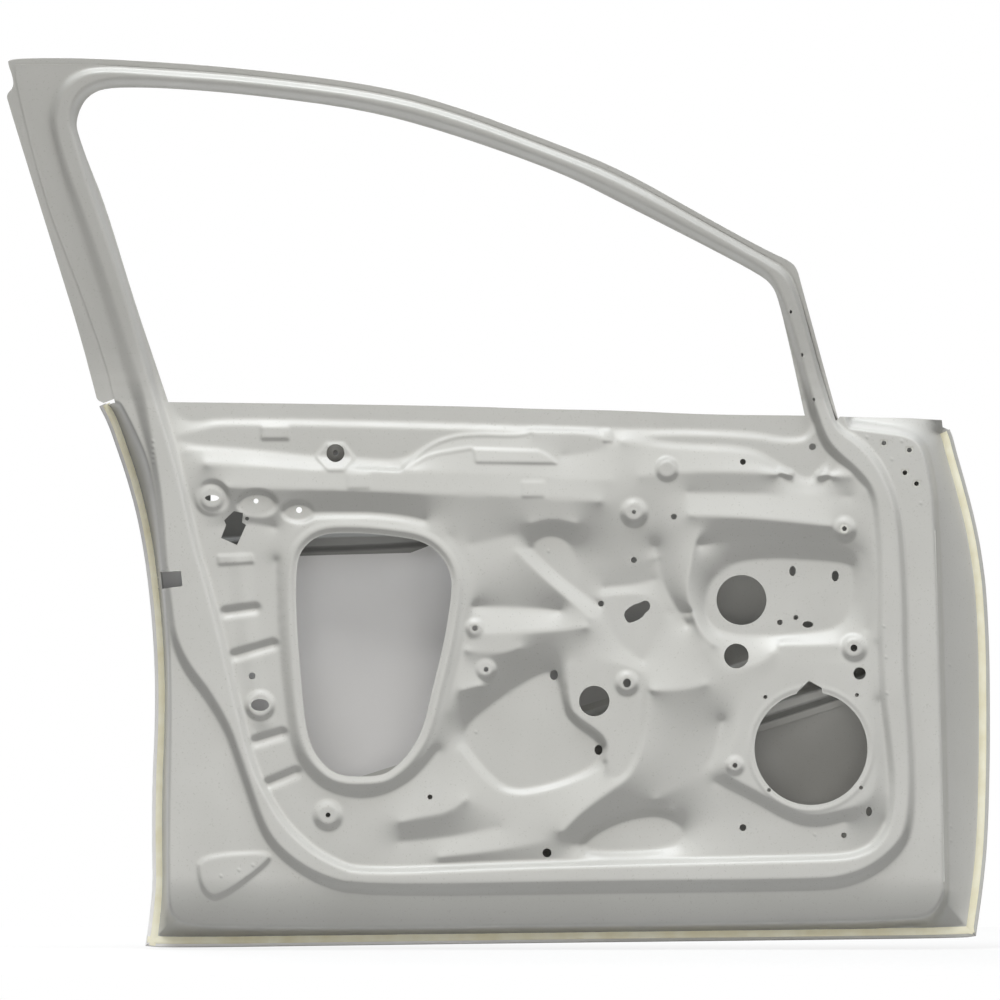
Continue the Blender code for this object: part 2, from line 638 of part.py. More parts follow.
def panel_holes():
    holes = [WINDOW, ACCESS, trace(LATCH_OPENING_P), trace(LOCK_OPENING_P), trace(PULL_OPENING_P)]
    holes.append(circle(SPEAKER_P, SPEAKER_BORE, SPEAKER_SIDES))
    holes.append(circle(MOTOR_P, MOTOR_BORE, MOTOR_SIDES))
    holes.append(circle(CHECK_P, CHECK_BORE, CHECK_SIDES))
    holes.append(circle(CABLE_P, CABLE_BORE, CABLE_SIDES))
    holes.append(circle(BRACKET_P, BRACKET_BORE, BRACKET_SIDES))
    holes += [circle(pixel, PLUG_BORE, PLUG_SIDES) for pixel in PLUG_HOLES_P]
    holes += [circle(pixel, CLIP_BORE, CLIP_SIDES) for pixel in CLIP_HOLES_P]
    holes += [circle(pixel, BOSS_BORE, BOSS_SIDES) for pixel in BOSS_HOLES_P]
    holes += [circle(pixel, OVAL_BORE, OVAL_SIDES, OVAL_STRETCH_SHARE) for pixel in OVAL_SLOTS_P]
    holes += [rectangle(at(pixel), (CAGE_WINDOW, CAGE_WINDOW)) for pixel in MIRROR_WINDOWS_P]
    return holes


def panel_creases():
    creases = [(RING_TOP, True), (RING_FOOT, True), (RING_INNER, True)]
    creases += [(trace(path), False) for path in (REAR_WALL_CROWN_P, FRONT_WALL_CROWN_P, FRONT_WALL_FOOT_P)]
    creases += [(REAR_WALL_FOOT, False), (FRONT_HEM_LINE, False)]
    creases += [(outline, True) for outline, level, wall in FIELD_AREAS if wall == CRISP_WALL]
    creases += [(loop, True) for loop in BEADS]
    creases.append((CORNER_EMBOSS, True))
    creases += [(fold, False) for fold in LEAN_FOLDS]
    for radius in (BOSS_TOP_RADIUS, BOSS_RADIUS):
        creases += [(circle(pixel, 2 * radius, OCTAGON_SIDES), True) for pixel in BOSS_HOLES_P]
    return creases


def make_inner_panel():
    mesh = sheet_mesh(panel_outline(), panel_holes(), panel_creases(), PANEL_STEP, panel_depth)
    piece = add_piece("inner_panel", mesh, PRIMER)
    thicken(piece, PANEL_SHEET)


def make_outer_skin():
    """The skin sheet, with its edge folded inboard and back over the inner pressing."""
    belt = resample(trace(SKIN_BELT_P), SKIN_STEP, closed=False)
    outline = np.vstack([HEM_EDGE, belt])
    holes = [rectangle(at(HANDLE_HOLE_P), HANDLE_HOLE), rectangle(at(HANDLE_PIVOT_P), HANDLE_PIVOT)]
    fold_line = offset_path(HEM_EDGE, HEM_WIDTH, closed=False)
    mesh = sheet_mesh(outline, holes, [(fold_line, False)], SKIN_STEP, skin_depth, outboard=True)
    edge = skin_depth(HEM_EDGE)
    verts = list(mesh.verts)
    places = np.array([(vert.co.x, vert.co.z) for vert in verts])
    tops = [verts[int(np.argmin(np.linalg.norm(places - corner, axis=1)))] for corner in HEM_EDGE]
    stack = PANEL_SHEET + 2 * HEM_PITCH
    folds = [mesh.verts.new((x, y - stack, z)) for (x, z), y in zip(HEM_EDGE, edge)]
    inner = skin_depth(fold_line)
    returns = [mesh.verts.new((x, y - stack, z)) for (x, z), y in zip(fold_line, inner)]
    for first in range(len(tops) - 1):
        second = first + 1
        mesh.faces.new([tops[first], tops[second], folds[second], folds[first]])
        mesh.faces.new([folds[first], folds[second], returns[second], returns[first]])
    piece = add_piece("outer_skin", mesh, PRIMER_SHADE)
    thicken(piece, PANEL_SHEET)


def strip_mesh(rows, facing=None):
    """A sheet through rows of points, all of one length, facing the given way."""
    mesh = bmesh.new()
    grid = [[mesh.verts.new(point) for point in row] for row in rows]
    for row, after in zip(grid, grid[1:]):
        for index in range(len(row) - 1):
            mesh.faces.new([row[index], row[index + 1], after[index + 1], after[index]])
    mesh.normal_update()
    if facing is not None:
        if sum(face.normal.dot(Vector(facing)) * face.calc_area() for face in mesh.faces) < 0:
            bmesh.ops.reverse_faces(mesh, faces=mesh.faces)
    return mesh


def bar_mesh(sections):
    """A solid bar through closed sections, all with as many points, capped at both ends."""
    mesh = bmesh.new()
    rings = [[mesh.verts.new(point) for point in section] for section in sections]
    count = len(rings[0])
    for ring, after in zip(rings, rings[1:]):
        for index in range(count):
            following = (index + 1) % count
            mesh.faces.new([ring[index], ring[following], after[following], after[index]])
    mesh.faces.new(rings[0])
    mesh.faces.new(rings[-1])
    bmesh.ops.recalc_face_normals(mesh, faces=mesh.faces)
    return mesh


def swept_rows(path, profile, base_depth):
    """Points of each profile corner (offset to the path's left, rise inboard) along the path."""
    rows = []
    for offset, rise in profile:
        line = offset_path(path, offset, closed=False)
        depth = base_depth(line) - rise
        rows.append([(x, y, z) for (x, z), y in zip(line, depth)])
    return rows


def make_hem_sealant():
    """Bead laid over the cut edge of the skin's hem, down onto the inner pressing."""
    start = HEM_WIDTH - SEALANT_LAP
    finish = start + SEALANT_WIDTH
    on_return = PANEL_SHEET + 2 * HEM_PITCH + SEAT_GAP
    on_panel = PANEL_SHEET + HEM_PITCH + SEAT_GAP
    crown = on_return + SEALANT_HEIGHT
    step = HEM_WIDTH + SEAT_GAP
    shoulder = SEALANT_WIDTH * SEALANT_SHOULDER_SHARE
    profile = [
        (start, on_return), (step, on_return), (step, on_panel), (finish, on_panel),
        (finish - shoulder / 2, (crown + on_panel) / 2), (finish - 2 * shoulder, crown),
        (start + 2 * shoulder, crown), (start + shoulder / 2, (crown + on_return) / 2),
    ]
    corners = swept_rows(HEM_EDGE, profile, skin_depth)
    sections = [list(section) for section in zip(*corners)]
    add_piece("hem_sealant", bar_mesh(sections[1:-1]), SEALANT_COLOUR, 0.6)


def make_window_frame_outer():
    frame = resample(trace(FRAME_EDGE_P), FRAME_STEP, closed=False)
    count = WINDOW_P.index(WINDOW_CORNER_P) + 1
    opening = WINDOW[:count][::-1]
    outline = np.vstack([frame, trace(RAIL_FRONT_TAB_P), opening, trace(RAIL_REAR_TAB_P)])
    creases = [(RING_FOOT, True), (RING_TOP, True)]
    creases.append((offset_path(opening, 2 * PINCH_FLANGE, closed=False), False))
    creases += [(fold, False) for fold in LEAN_FOLDS]
    mesh = sheet_mesh(outline, [], creases, FRAME_STEP, rail_depth)
    piece = add_piece("window_frame_outer", mesh, PRIMER_SHADE)
    thicken(piece, PANEL_SHEET)


def belt_rail_profile(turn):
    """Flange, wall and web of a belt rail; the web stands off to the side that turn gives."""
    return [
        (0, 0), (BELT_RAIL_FLANGE, 0), (BELT_RAIL_FLANGE + BELT_RAIL_WALL, turn * BELT_RAIL_DEPTH),
        (BELT_RAIL_HEIGHT, turn * BELT_RAIL_DEPTH),
    ]


def make_belt_rails():
    skin_side = PANEL_SHEET + SEAT_GAP + REINFORCEMENT_SHEET
    outer = resample(trace(BELT_RAIL_OUTER_P), SKIN_STEP, closed=False)
    rows = swept_rows(outer, belt_rail_profile(1), lambda points: skin_depth(points) - skin_side)
    piece = add_piece("belt_rail_outer", strip_mesh(rows, (0, -1, 0)), BARE_STEEL)
    thicken(piece, REINFORCEMENT_SHEET)
    panel_side = RIM_Y + WINDOW_WALL_DEPTH + PANEL_SHEET + SEAT_GAP
    inner = trace(BELT_RAIL_INNER_P)
    rows = swept_rows(inner, belt_rail_profile(-1), lambda points: np.full(len(points), panel_side))
    piece = add_piece("belt_rail_inner", strip_mesh(rows, (0, -1, 0)), BARE_STEEL)
    thicken(piece, REINFORCEMENT_SHEET)


def make_belt_bracket():
    """Plate that hangs from the inner belt rail, seen through the hole above it."""
    rail_back = RIM_Y + WINDOW_WALL_DEPTH + PANEL_SHEET + SEAT_GAP + BELT_RAIL_DEPTH
    level = rail_back + REINFORCEMENT_SHEET + SEAT_GAP
    hole = circle(BRACKET_P, CLIP_BORE, OCTAGON_SIDES)
    outline = trace(BELT_BRACKET_P)
    mesh = sheet_mesh(outline, [hole], [], PANEL_STEP, lambda points: np.full(len(points), level))
    thicken(add_piece("belt_bracket", mesh, BARE_STEEL), REINFORCEMENT_SHEET)


def make_handle_reinforcement():
    outline = resample(trace(HANDLE_PLATE_P), SKIN_STEP)
    bead = trace(HANDLE_BEAD_P)
    holes = [rectangle(at(HANDLE_HOLE_P), HANDLE_HOLE), rectangle(at(HANDLE_PIVOT_P), HANDLE_PIVOT)]
    side = PANEL_SHEET + SEAT_GAP + REINFORCEMENT_SHEET

    def depth_of(points):
        rise = ease(1 - distance_outside(points, bead) / EMBOSS_WALL)
        return skin_depth(points) - side - HANDLE_BEAD_HEIGHT * rise

    creases = [(bead, True), (offset_path(bead, EMBOSS_WALL), True)]
    mesh = sheet_mesh(outline, holes, creases, SKIN_STEP, depth_of)
    thicken(add_piece("handle_reinforcement", mesh, PRIMER_SHADE), REINFORCEMENT_SHEET)


def beam_path():
    return resample(trace([BEAM_FRONT_P, BEAM_REAR_P]), BEAM_STEP, closed=False)


def make_impact_beam():
    half, valley = BEAM_WIDTH / 2, BEAM_VALLEY / 2
    half_profile = [
        (half, 0), (half - BEAM_FLANGE, 0), (half - BEAM_FLANGE - BEAM_WALL, BEAM_DEPTH),
        (valley + BEAM_WALL, BEAM_DEPTH), (valley, 0),
    ]
    profile = half_profile + [(-offset, rise) for offset, rise in half_profile[::-1]]
    side = PANEL_SHEET + BEAM_SKIN_GAP + BEAM_SHEET
    rows = swept_rows(beam_path(), profile, lambda points: skin_depth(points) - side)
    thicken(add_piece("impact_beam", strip_mesh(rows, (0, -1, 0)), BARE_STEEL), BEAM_SHEET)


def make_mastic_pads():
    """Mastic between the beam's valley and the skin."""
    start, end = trace([BEAM_REAR_P, BEAM_FRONT_P])
    for number, share in enumerate(MASTIC_SHARES, 1):
        centre = mix(start, end, share)
        angles = np.arange(MASTIC_SIDES) * math.tau / MASTIC_SIDES
        loop = centre + MASTIC_RADIUS * np.column_stack([np.cos(angles), np.sin(angles)])
        skin = skin_depth(loop) - PANEL_SHEET - SEAT_GAP
        beam = skin_depth(loop) - PANEL_SHEET - BEAM_SKIN_GAP + SEAT_GAP
        sections = [[(x, y, z) for (x, z), y in zip(loop, depth)] for depth in (beam, skin)]
        add_piece(f"mastic_pad_{number}", bar_mesh(sections), MASTIC_COLOUR, 0.8)


def row_height(row):
    return at((0, row))[1]


def wall_point(wall, height, share, inset):
    """Point on the inner side of a wall of the pressing, part way from its crown to its foot."""
    ends = np.array([(np.interp(height, line[:, 1], line[:, 0]), height) for line in wall])
    depth = panel_depth(ends)
    return (mix(ends[0, 0], ends[1, 0], share) + inset, mix(depth[0], depth[1], share), height)


HINGE_WALL = [trace(path[3:5]) for path in (FRONT_WALL_CROWN_P, FRONT_WALL_FOOT_P)]
LATCH_WALL_FOOT = REAR_WALL_FOOT[REAR_WALL_FOOT[:, 1] > row_height(LATCH_WALL_END_P)]
LATCH_WALL = [trace(REAR_WALL_CROWN_P[:14])[::-1], LATCH_WALL_FOOT[::-1]]


def make_hinge_reinforcement():
    """Angle along the inside of the hinge wall, with its flange behind the seal shelf."""
    inset = -(PANEL_SHEET + WALL_CLEARANCE)
    shelf = RIM_Y + SEAL_STEP - inset
    corner_share = -inset / (FRONT_FOOT_Y - RIM_Y - SEAL_STEP)
    rows = []
    for row in HINGE_ROWS_P:
        x, _, z = wall_point(HINGE_WALL, row_height(row), corner_share, inset)
        foot = wall_point(HINGE_WALL, row_height(row), HINGE_FOOT_SHARE, inset)
        rows.append([(x - HINGE_FLANGE, shelf, z), (x, shelf, z), foot])
    piece = add_piece("hinge_reinforcement", strip_mesh(rows, (1, -1, 0)), BARE_STEEL)
    thicken(piece, REINFORCEMENT_SHEET)


def hinge_side_plate(name, row, size, thickness):
    """Plate on the inner side of the hinge reinforcement, behind the bolts."""
    inset = -(PANEL_SHEET + 2 * WALL_CLEARANCE + REINFORCEMENT_SHEET)
    width, height = size
    share = width / (FRONT_FOOT_Y - RIM_Y - SEAL_STEP)
    shares = (HINGE_PLATE_SHARE - share / 2, HINGE_PLATE_SHARE + share / 2)
    sections = []
    for end in (row_height(row) + height / 2, row_height(row) - height / 2):
        near = [wall_point(HINGE_WALL, end, part, inset) for part in shares]
        far = [(x - thickness, y, z) for x, y, z in near[::-1]]
        sections.append(near + far)
    add_piece(name, bar_mesh(sections), BARE_STEEL)


def make_hinge_side_plates():
    for name, row in HINGE_CENTRES_P.items():
        hinge_side_plate(f"hinge_tapping_plate_{name}", row, HINGE_PLATE, HINGE_PLATE_THICKNESS)
    hinge_side_plate("check_strap_plate", CHECK_STRAP_ROW_P, CHECK_PLATE, CHECK_PLATE_THICKNESS)


def make_latch_reinforcement():
    """Angle inside the latch wall, cut away round the latch opening."""
    inset = PANEL_SHEET + WALL_CLEARANCE
    rim = RIM_Y + PANEL_SHEET + WALL_CLEARANCE
    rows = []
    for row in LATCH_ROWS_P:
        x, _, z = wall_point(LATCH_WALL, row_height(row), 0, 0)
        reaches = (LATCH_FLANGE_OUTER, LATCH_FLANGE_INNER, LATCH_FLANGE_NEAR)
        line = [(x + reach, rim, z) for reach in reaches]
        line.append((x + 2 * inset, RIM_Y + SEAL_STEP + LEDGE_CLEARANCE, z))
        line += [wall_point(LATCH_WALL, z, share, inset) for share in LATCH_WALL_SHARES]
        rows.append(line)
    mesh = strip_mesh(rows, (-1, -1, 0))
    columns = len(rows[0]) - 1
    mesh.faces.ensure_lookup_table()
    opening = [mesh.faces[columns + column] for column in (1, 2, 3)]
    bmesh.ops.delete(mesh, geom=opening, context="FACES")
    thicken(add_piece("latch_reinforcement", mesh, BARE_STEEL), REINFORCEMENT_SHEET)


def make_beam_brackets():
    """Plates under the beam's ends, turned inboard along the walls of the pressing."""
    under_beam = PANEL_SHEET + BEAM_SKIN_GAP - SEAT_GAP
    sides = (
        ("beam_bracket_front", HINGE_WALL, BEAM_FRONT_P, -1, BRACKET_FRONT_SHARES),
        ("beam_bracket_rear", LATCH_WALL, BEAM_REAR_P, 1, BRACKET_REAR_SHARES),
    )
    for name, wall, beam_end, inward, shares in sides:
        inset = inward * (PANEL_SHEET + 2 * (WALL_CLEARANCE + REINFORCEMENT_SHEET))
        rows = []
        for row_share in BRACKET_ROW_SHARES:
            height = at(beam_end)[1] + row_share * BEAM_WIDTH
            turned = [wall_point(wall, height, share, inset) for share in shares]
            x, z = turned[0][0], turned[0][2]
            plate = np.array([(x + inward * BRACKET_LENGTH, z), (x + inward * BRACKET_TURN, z)])
            depth = skin_depth(plate) - under_beam
            rows.append([(px, y, pz) for (px, pz), y in zip(plate, depth)] + turned)
        piece = add_piece(name, strip_mesh(rows, (inward, -1, 0)), BARE_STEEL)
        thicken(piece, REINFORCEMENT_SHEET)


def make_mirror_reinforcement():
    level = RIM_Y + SEAL_STEP + PANEL_SHEET + SHEET_CLEARANCE
    windows = [rectangle(at(pixel), (CAGE_OPENING, CAGE_OPENING)) for pixel in MIRROR_WINDOWS_P]
    outline = trace(MIRROR_PLATE_P)
    mesh = sheet_mesh(outline, windows, [], PANEL_STEP, lambda points: np.full(len(points), level))
    thicken(add_piece("mirror_reinforcement", mesh, BARE_STEEL), REINFORCEMENT_SHEET)


def bored_block(outer, inner, near, far):
    """Block between two depths, with a bore right through; outer and inner have as many points."""
    mesh = bmesh.new()
    rings = []
    for loop in (outer, inner):
        rings.append([[mesh.verts.new((x, y, z)) for x, z in loop] for y in (near, far)])
    count = len(outer)
    for index in range(count):
        following = (index + 1) % count
        for ring in rings:
            mesh.faces.new([ring[0][index], ring[0][following], ring[1][following], ring[1][index]])
        for rim, bore in zip(*rings):
            mesh.faces.new([rim[index], rim[following], bore[following], bore[index]])
    bmesh.ops.recalc_face_normals(mesh, faces=mesh.faces)
    return mesh


def square_loop(centre, size):
    """Square with its sides halved, to pair with an eight-sided bore."""
    corners = rectangle(centre, (size, size))
    middles = (corners + np.roll(corners, -1, axis=0)) / 2
    return np.stack([corners, middles], axis=1).reshape(-1, 2)


def octagon(centre, bore):
    angles = OCTAGON_START + np.arange(OCTAGON_SIDES) * math.tau / OCTAGON_SIDES
    return np.array(centre) + bore / 2 * np.column_stack([np.cos(angles), np.sin(angles)])


def make_nuts():
    near = RIM_Y + SEAL_STEP + PANEL_SHEET + SHEET_CLEARANCE
    for number, pixel in enumerate(MIRROR_WINDOWS_P, 1):
        centre = at(pixel)
        outer, inner = square_loop(centre, CAGE_NUT), octagon(centre, NUT_BORE)
        mesh = bored_block(outer, inner, near, near + CAGE_NUT_HEIGHT)
        add_piece(f"mirror_cage_nut_{number}", mesh, BARE_STEEL, 0.4, 0.6)
    for number, pixel in enumerate(NUT_HOLES_P, 1):
        centre = at(pixel)
        near = panel_depth(np.array([centre]))[0] + PANEL_SHEET + SHEET_CLEARANCE
        outer, inner = octagon(centre, NUT_ACROSS), octagon(centre, NUT_BORE)
        mesh = bored_block(outer, inner, near, near + NUT_HEIGHT)
        add_piece(f"regulator_nut_{number}", mesh, BARE_STEEL, 0.4, 0.6)


def main():
    for leftover in list(bpy.data.objects):
        bpy.data.objects.remove(leftover)
    make_inner_panel()
    make_outer_skin()
    make_hem_sealant()
    make_window_frame_outer()
    make_belt_rails()
    make_belt_bracket()
    make_handle_reinforcement()
    make_impact_beam()
    make_mastic_pads()
    make_beam_brackets()
    make_hinge_reinforcement()
    make_hinge_side_plates()
    make_latch_reinforcement()
    make_mirror_reinforcement()
    make_nuts()


main()
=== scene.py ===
"""Bare shell of a left front car door in grey primer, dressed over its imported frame.

X runs forward to the hinges, Y outboard to the skin and Z up, in metres. Outlines
in side view are written in photograph pixels (names ending in _P) and turned into
metres by at(). A pressing is worked out as a relief: its depth along Y over a fine
side-view grid, pressed area by area, and then covered by a sheet whose points lie
closer together where the relief bends.
"""

import math

import bmesh
import bpy
import numpy as np
from bpy.props import FloatProperty, FloatVectorProperty, PointerProperty
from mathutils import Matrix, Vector
from mathutils.geometry import delaunay_2d_cdt


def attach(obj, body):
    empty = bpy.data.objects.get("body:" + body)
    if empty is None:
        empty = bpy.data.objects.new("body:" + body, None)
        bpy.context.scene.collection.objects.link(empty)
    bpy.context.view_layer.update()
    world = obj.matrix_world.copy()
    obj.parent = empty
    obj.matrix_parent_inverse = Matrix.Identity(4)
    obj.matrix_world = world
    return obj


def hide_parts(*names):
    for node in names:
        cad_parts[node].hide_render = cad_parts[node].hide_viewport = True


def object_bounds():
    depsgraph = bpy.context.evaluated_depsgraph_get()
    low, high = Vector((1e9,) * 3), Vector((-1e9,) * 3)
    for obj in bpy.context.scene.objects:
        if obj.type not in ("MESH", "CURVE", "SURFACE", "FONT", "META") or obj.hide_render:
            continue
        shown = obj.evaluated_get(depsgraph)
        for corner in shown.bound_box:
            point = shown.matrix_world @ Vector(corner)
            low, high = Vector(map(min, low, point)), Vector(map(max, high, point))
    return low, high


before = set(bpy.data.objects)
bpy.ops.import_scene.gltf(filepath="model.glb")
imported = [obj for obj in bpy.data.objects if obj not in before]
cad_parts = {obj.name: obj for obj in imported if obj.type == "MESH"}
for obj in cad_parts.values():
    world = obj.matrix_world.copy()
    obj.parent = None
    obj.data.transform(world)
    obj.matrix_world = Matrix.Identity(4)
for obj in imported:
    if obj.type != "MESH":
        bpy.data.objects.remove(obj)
CAD_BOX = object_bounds()

bl_info = {
    "name": "Car Door Shell",
    "version": (1, 0, 0),
    "blender": (4, 5, 0),
    "location": "3D View > Sidebar > Door Shell",
    "description": "Builds a primed front door shell and its studio",
    "category": "Object",
}

# Photograph frame
DOOR_LENGTH, DOOR_HEIGHT = 1.248, 1.129
PHOTO_LEFT, PHOTO_RIGHT = 8.3, 991.4
PHOTO_TOP, PHOTO_BOTTOM = 59.6, 949.0
SEAT_PX, SEAT_PY = 946.86, 850.0
PHOTO_SIDE = 1000

# Sheets and depths, as the frame has them
SHEET = 0.0008
PLATE = 0.0014
BEAM_PLATE = 0.0018
SEAT_GAP = 0.0003
RIM_Y = -0.0325
SEAL_STEP = 0.010
FRONT_FOOT_Y = 0.0225
FRONT_FOOT_BLEND = 0.035
SKIN_CROWN_Y = 0.0849
SKIN_TURN_UNDER, SKIN_END_DROP, SKIN_WIDEST_SHARE = 0.036, 0.016, 0.35
HEM_PITCH = 0.0013
HEM_WIDTH, HEM_FLAT = 0.009, 0.0148
PANEL_EDGE_INSET = 0.0016
FRAME_LEAN_SLOPE = 0.30
FRAME_RAIL_DEPTH, WINDOW_WALL_DEPTH, PINCH_FLANGE = 0.034, 0.022, 0.0035
SHEET_CLEARANCE = 0.0004
RING_WALL, BELT_BLEND = 0.010, 0.030

# Pieces made from a swept profile or a plate
SEALANT_ON_HEM, SEALANT_ON_PANEL = 0.0045, 0.0050
SEALANT_SIDES, SEALANT_CROWN, SEALANT_CROWN_WAVER = 15, 0.0013, 0.00016
SEALANT_ROUNDNESS, SEALANT_WAVER = 0.55, 0.0005
BRUSH_MARK, BRUSH_MARKS = 0.00007, 34.0
RAIL_FLANGE, RAIL_WALL, RAIL_HEIGHT, RAIL_DEPTH = 0.014, 0.003, 0.042, 0.011
RAIL_STEP, RAIL_PROFILE_STEP = 0.016, 0.004
BEAM_HALF_WIDTH, BEAM_FLANGE, BEAM_VALLEY = 0.050, 0.010, 0.015
BEAM_WALL, BEAM_HEIGHT, BEAM_GAP = 0.006, 0.026, 0.010
BEAM_STEP, BEAM_PROFILE_STEP = 0.012, 0.010
HANDLE_CORNER, HANDLE_CORNER_POINTS = 0.006, 7
HANDLE_BEAD_WALL, HANDLE_BEAD_DEPTH = 0.006, 0.006

# Relief grid, and the steps of its cells at which a sheet's points may lie
PITCH = 0.0008
REACH = 0.060
GRID_STEPS = (16, 8, 4, 2)
GRID_CLEAR_SHARE = 0.4
EDGE_STEP = 0.0032
SAME_POINT, HEM_MERGE, SHEET_MERGE = PITCH / 8, PITCH / 40, PITCH / 400
SHARP_ANGLE = math.radians(55)

# Studio: each lamp's name, place, size, power and colour. A place's x and z count from
# the door's centre, and its y from the frame's zero.
LAMPS = [
    ("key", (-0.6, -2.0, 2.8), (2.2, 1.0), 42, (1.0, 1.0, 0.98)),
    ("top", (0.1, -0.7, 2.3), (2.6, 0.9), 54, (0.92, 0.96, 1.0)),
    ("side", (2.6, -2.0, 0.6), (0.8, 2.0), 12, (0.97, 0.98, 1.0)),
    ("low", (0.0, -2.6, -0.3), (2.4, 0.5), 12, (1.0, 0.98, 0.93)),
    ("back", (-0.6, 2.8, 1.6), (2.0, 1.4), 50, (1.0, 1.0, 1.0)),
]
AIM_Y = -0.02
WORLD_COLOUR, WORLD_STRENGTH = (1.0, 0.98, 0.94, 1), 0.15
FLOOR_SIZE, FLOOR_GAP, FLOOR_COLOUR, FLOOR_GLOW = 1.6, 0.001, (0.88, 0.88, 0.88, 1), 0.75
CAMERA_DISTANCE, CAMERA_FOCUS_Y, CAMERA_SENSOR, CAMERA_REACH = 30.0, -0.03, 36, 200

HEM_EDGE_P = [
    (98, 406), (107, 424), (114, 444), (125, 476), (136, 516), (144, 560), (150, 611), (153.6, 665),
    (154, 720), (151, 786), (151, 852), (152, 886), (148, 924), (144.5, 947), (144.5, 947), (166, 949),
    (360, 946.5), (600, 943.5), (820, 941), (963, 939), (977, 937), (977, 937), (980, 917), (984.5, 885),
    (989, 841), (991.4, 760), (991.4, 700), (991, 649), (988, 591), (984.5, 563), (979, 530), (969, 490),
    (958, 452), (954, 436), (951, 429),
]
FRAME_JOINT_P = [
    (115, 403), (107, 366), (80, 289), (56, 228), (44, 190), (33, 150), (24, 110), (17, 80), (17, 66),
    (17, 66), (90, 66), (166, 70), (240, 75.5), (362, 90), (444, 109), (560, 152), (622, 177), (703, 222),
    (764, 256), (787, 268), (796, 284), (809, 331), (822, 377), (836, 421),
]
FRAME_EDGE_P = [
    (103.6, 403), (97, 400), (95.5, 394), (80, 335), (69.6, 300), (9, 102), (8.3, 95.5), (15, 89),
    (15, 80), (10, 66), (10, 61), (38, 59.6), (93, 60), (166, 64), (240, 69.6), (362, 84), (444, 103),
    (560, 146), (622, 171), (703, 216.5), (764.5, 250), (791, 262), (797, 270), (800, 281),
    (813.5, 330), (826, 375), (837, 414),
]
RAIL_FRONT_TAB_P = [(842, 440), (822, 440)]
RAIL_REAR_TAB_P = [(178, 432), (160, 432), (150, 400), (116, 398)]
FRONT_BELT_P = [(840, 416.5), (912, 418), (943, 420), (944, 427)]
WINDOW_P = [
    (168, 402), (168, 402), (157, 369), (134, 300), (106, 206), (88, 161), (79, 134.5), (77, 124.6),
    (81, 109.6), (89.5, 97), (106, 89), (149, 88.6), (199, 91.4), (260, 97), (362, 110.4), (444, 132),
    (560, 172.7), (622, 204), (703, 245), (762, 276), (773, 287), (778, 299), (785, 326), (795, 369),
    (805, 415.5), (805, 415.5), (703, 414.5), (622, 410.4), (540, 409), (460, 406), (260, 403),
]
WINDOW_FRONT_CORNER = (805, 415.5)
RING_TOP_P = [
    (98, 71), (166, 76.5), (240, 81.5), (362, 96), (444, 115), (560, 158), (622, 184), (703, 228),
    (760, 260), (782, 273), (792, 288), (806, 331), (818, 375), (829, 412), (838, 432), (856, 444),
    (876, 467), (889, 496), (896, 520), (901, 591), (902, 680), (907, 739), (909, 790), (905, 830),
    (893, 848), (870, 866), (845, 875), (820, 879), (600, 881), (361, 886), (318, 874), (285, 852),
    (267, 829), (251.5, 784), (240.5, 752), (231, 726), (211, 691), (189, 663), (176, 636), (172, 608),
    (165.5, 560), (163, 520), (160, 490), (156, 460), (151, 430), (147, 400), (131, 350), (115, 300),
    (106, 272), (86, 214), (70, 173), (62, 145), (58.5, 130), (58, 115), (64, 97), (76, 82),
]
RING_FOOT_P = [
    (92, 68.5), (166, 72.5), (240, 77.8), (362, 92.3), (444, 111.3), (560, 154.3), (622, 179.6),
    (703, 224.4), (763, 257.6), (785, 269.8), (794.3, 286), (807.6, 331), (820.3, 377), (832.5, 417),
    (842, 428), (862, 437), (884, 461), (897, 490), (903, 520), (908, 591), (909, 680), (914, 739),
    (916, 795), (912, 836), (898, 858), (874, 877), (848, 887), (820, 890.5), (600, 893), (360, 896),
    (315.5, 884), (279, 859), (259, 833), (243, 786), (232, 754), (223, 729), (203, 697), (182, 671),
    (170.5, 642), (167.6, 611), (162.8, 560), (160, 520), (156.5, 490), (150, 460), (141, 430),
    (132, 400), (116, 350), (99, 290), (93, 272), (75, 214), (61, 173), (53, 139.5), (50, 128),
    (49, 115), (55, 95), (66, 78),
]
RING_INNER_P = [
    (115, 79.8), (150, 80), (200, 83.5), (260, 88.5), (362, 101.5), (444, 122), (560, 163.5),
    (622, 192.5), (703, 235.2), (755, 263), (770, 273), (780, 290), (795, 331), (807, 375), (818, 415),
    (828, 440), (838, 452), (859, 469), (874, 487), (880, 507), (884, 560), (884, 640), (887, 700),
    (893, 745), (897, 790), (893, 825), (881, 846), (863, 857), (843, 861), (820, 862), (600, 867),
    (500, 870), (360, 876), (332, 866), (307, 851), (279, 823), (262.5, 793), (250, 768.6),
    (235.7, 713), (223, 658), (203.6, 583), (196, 560), (187.5, 526), (178.6, 485), (168, 444),
    (157, 410), (150, 386), (140, 350), (126, 300), (112, 254), (95, 205), (82, 165), (75, 140),
    (70, 124), (71.5, 108), (80, 93), (95, 84),
]
REAR_WALL_CROWN_P = [
    (119, 404), (123, 411), (133, 430), (146.5, 460), (153.5, 490), (157, 520), (160.5, 560),
    (164.6, 611), (167.2, 642), (168.4, 683), (168.6, 754), (167, 820), (167, 869), (168, 910),
    (178, 922), (199.5, 927), (360, 928.5), (600, 925.5), (820, 922.5), (905, 920),
]
FRONT_WALL_CROWN_P = [
    (925, 918), (936, 911), (943, 900), (946, 884), (936.5, 520), (929, 467), (920, 442), (905, 434),
    (880, 431), (850, 427),
]
FRONT_WALL_FOOT_P = [
    (928, 924), (940, 916), (947, 904), (949.5, 884), (940, 520), (934, 466), (925, 438), (907, 428.5),
    (880, 425), (850, 421.5),
]
PAST_FRAME_P = [(843, 400), (1010, 395), (1010, 30), (0, 30), (0, 398)]
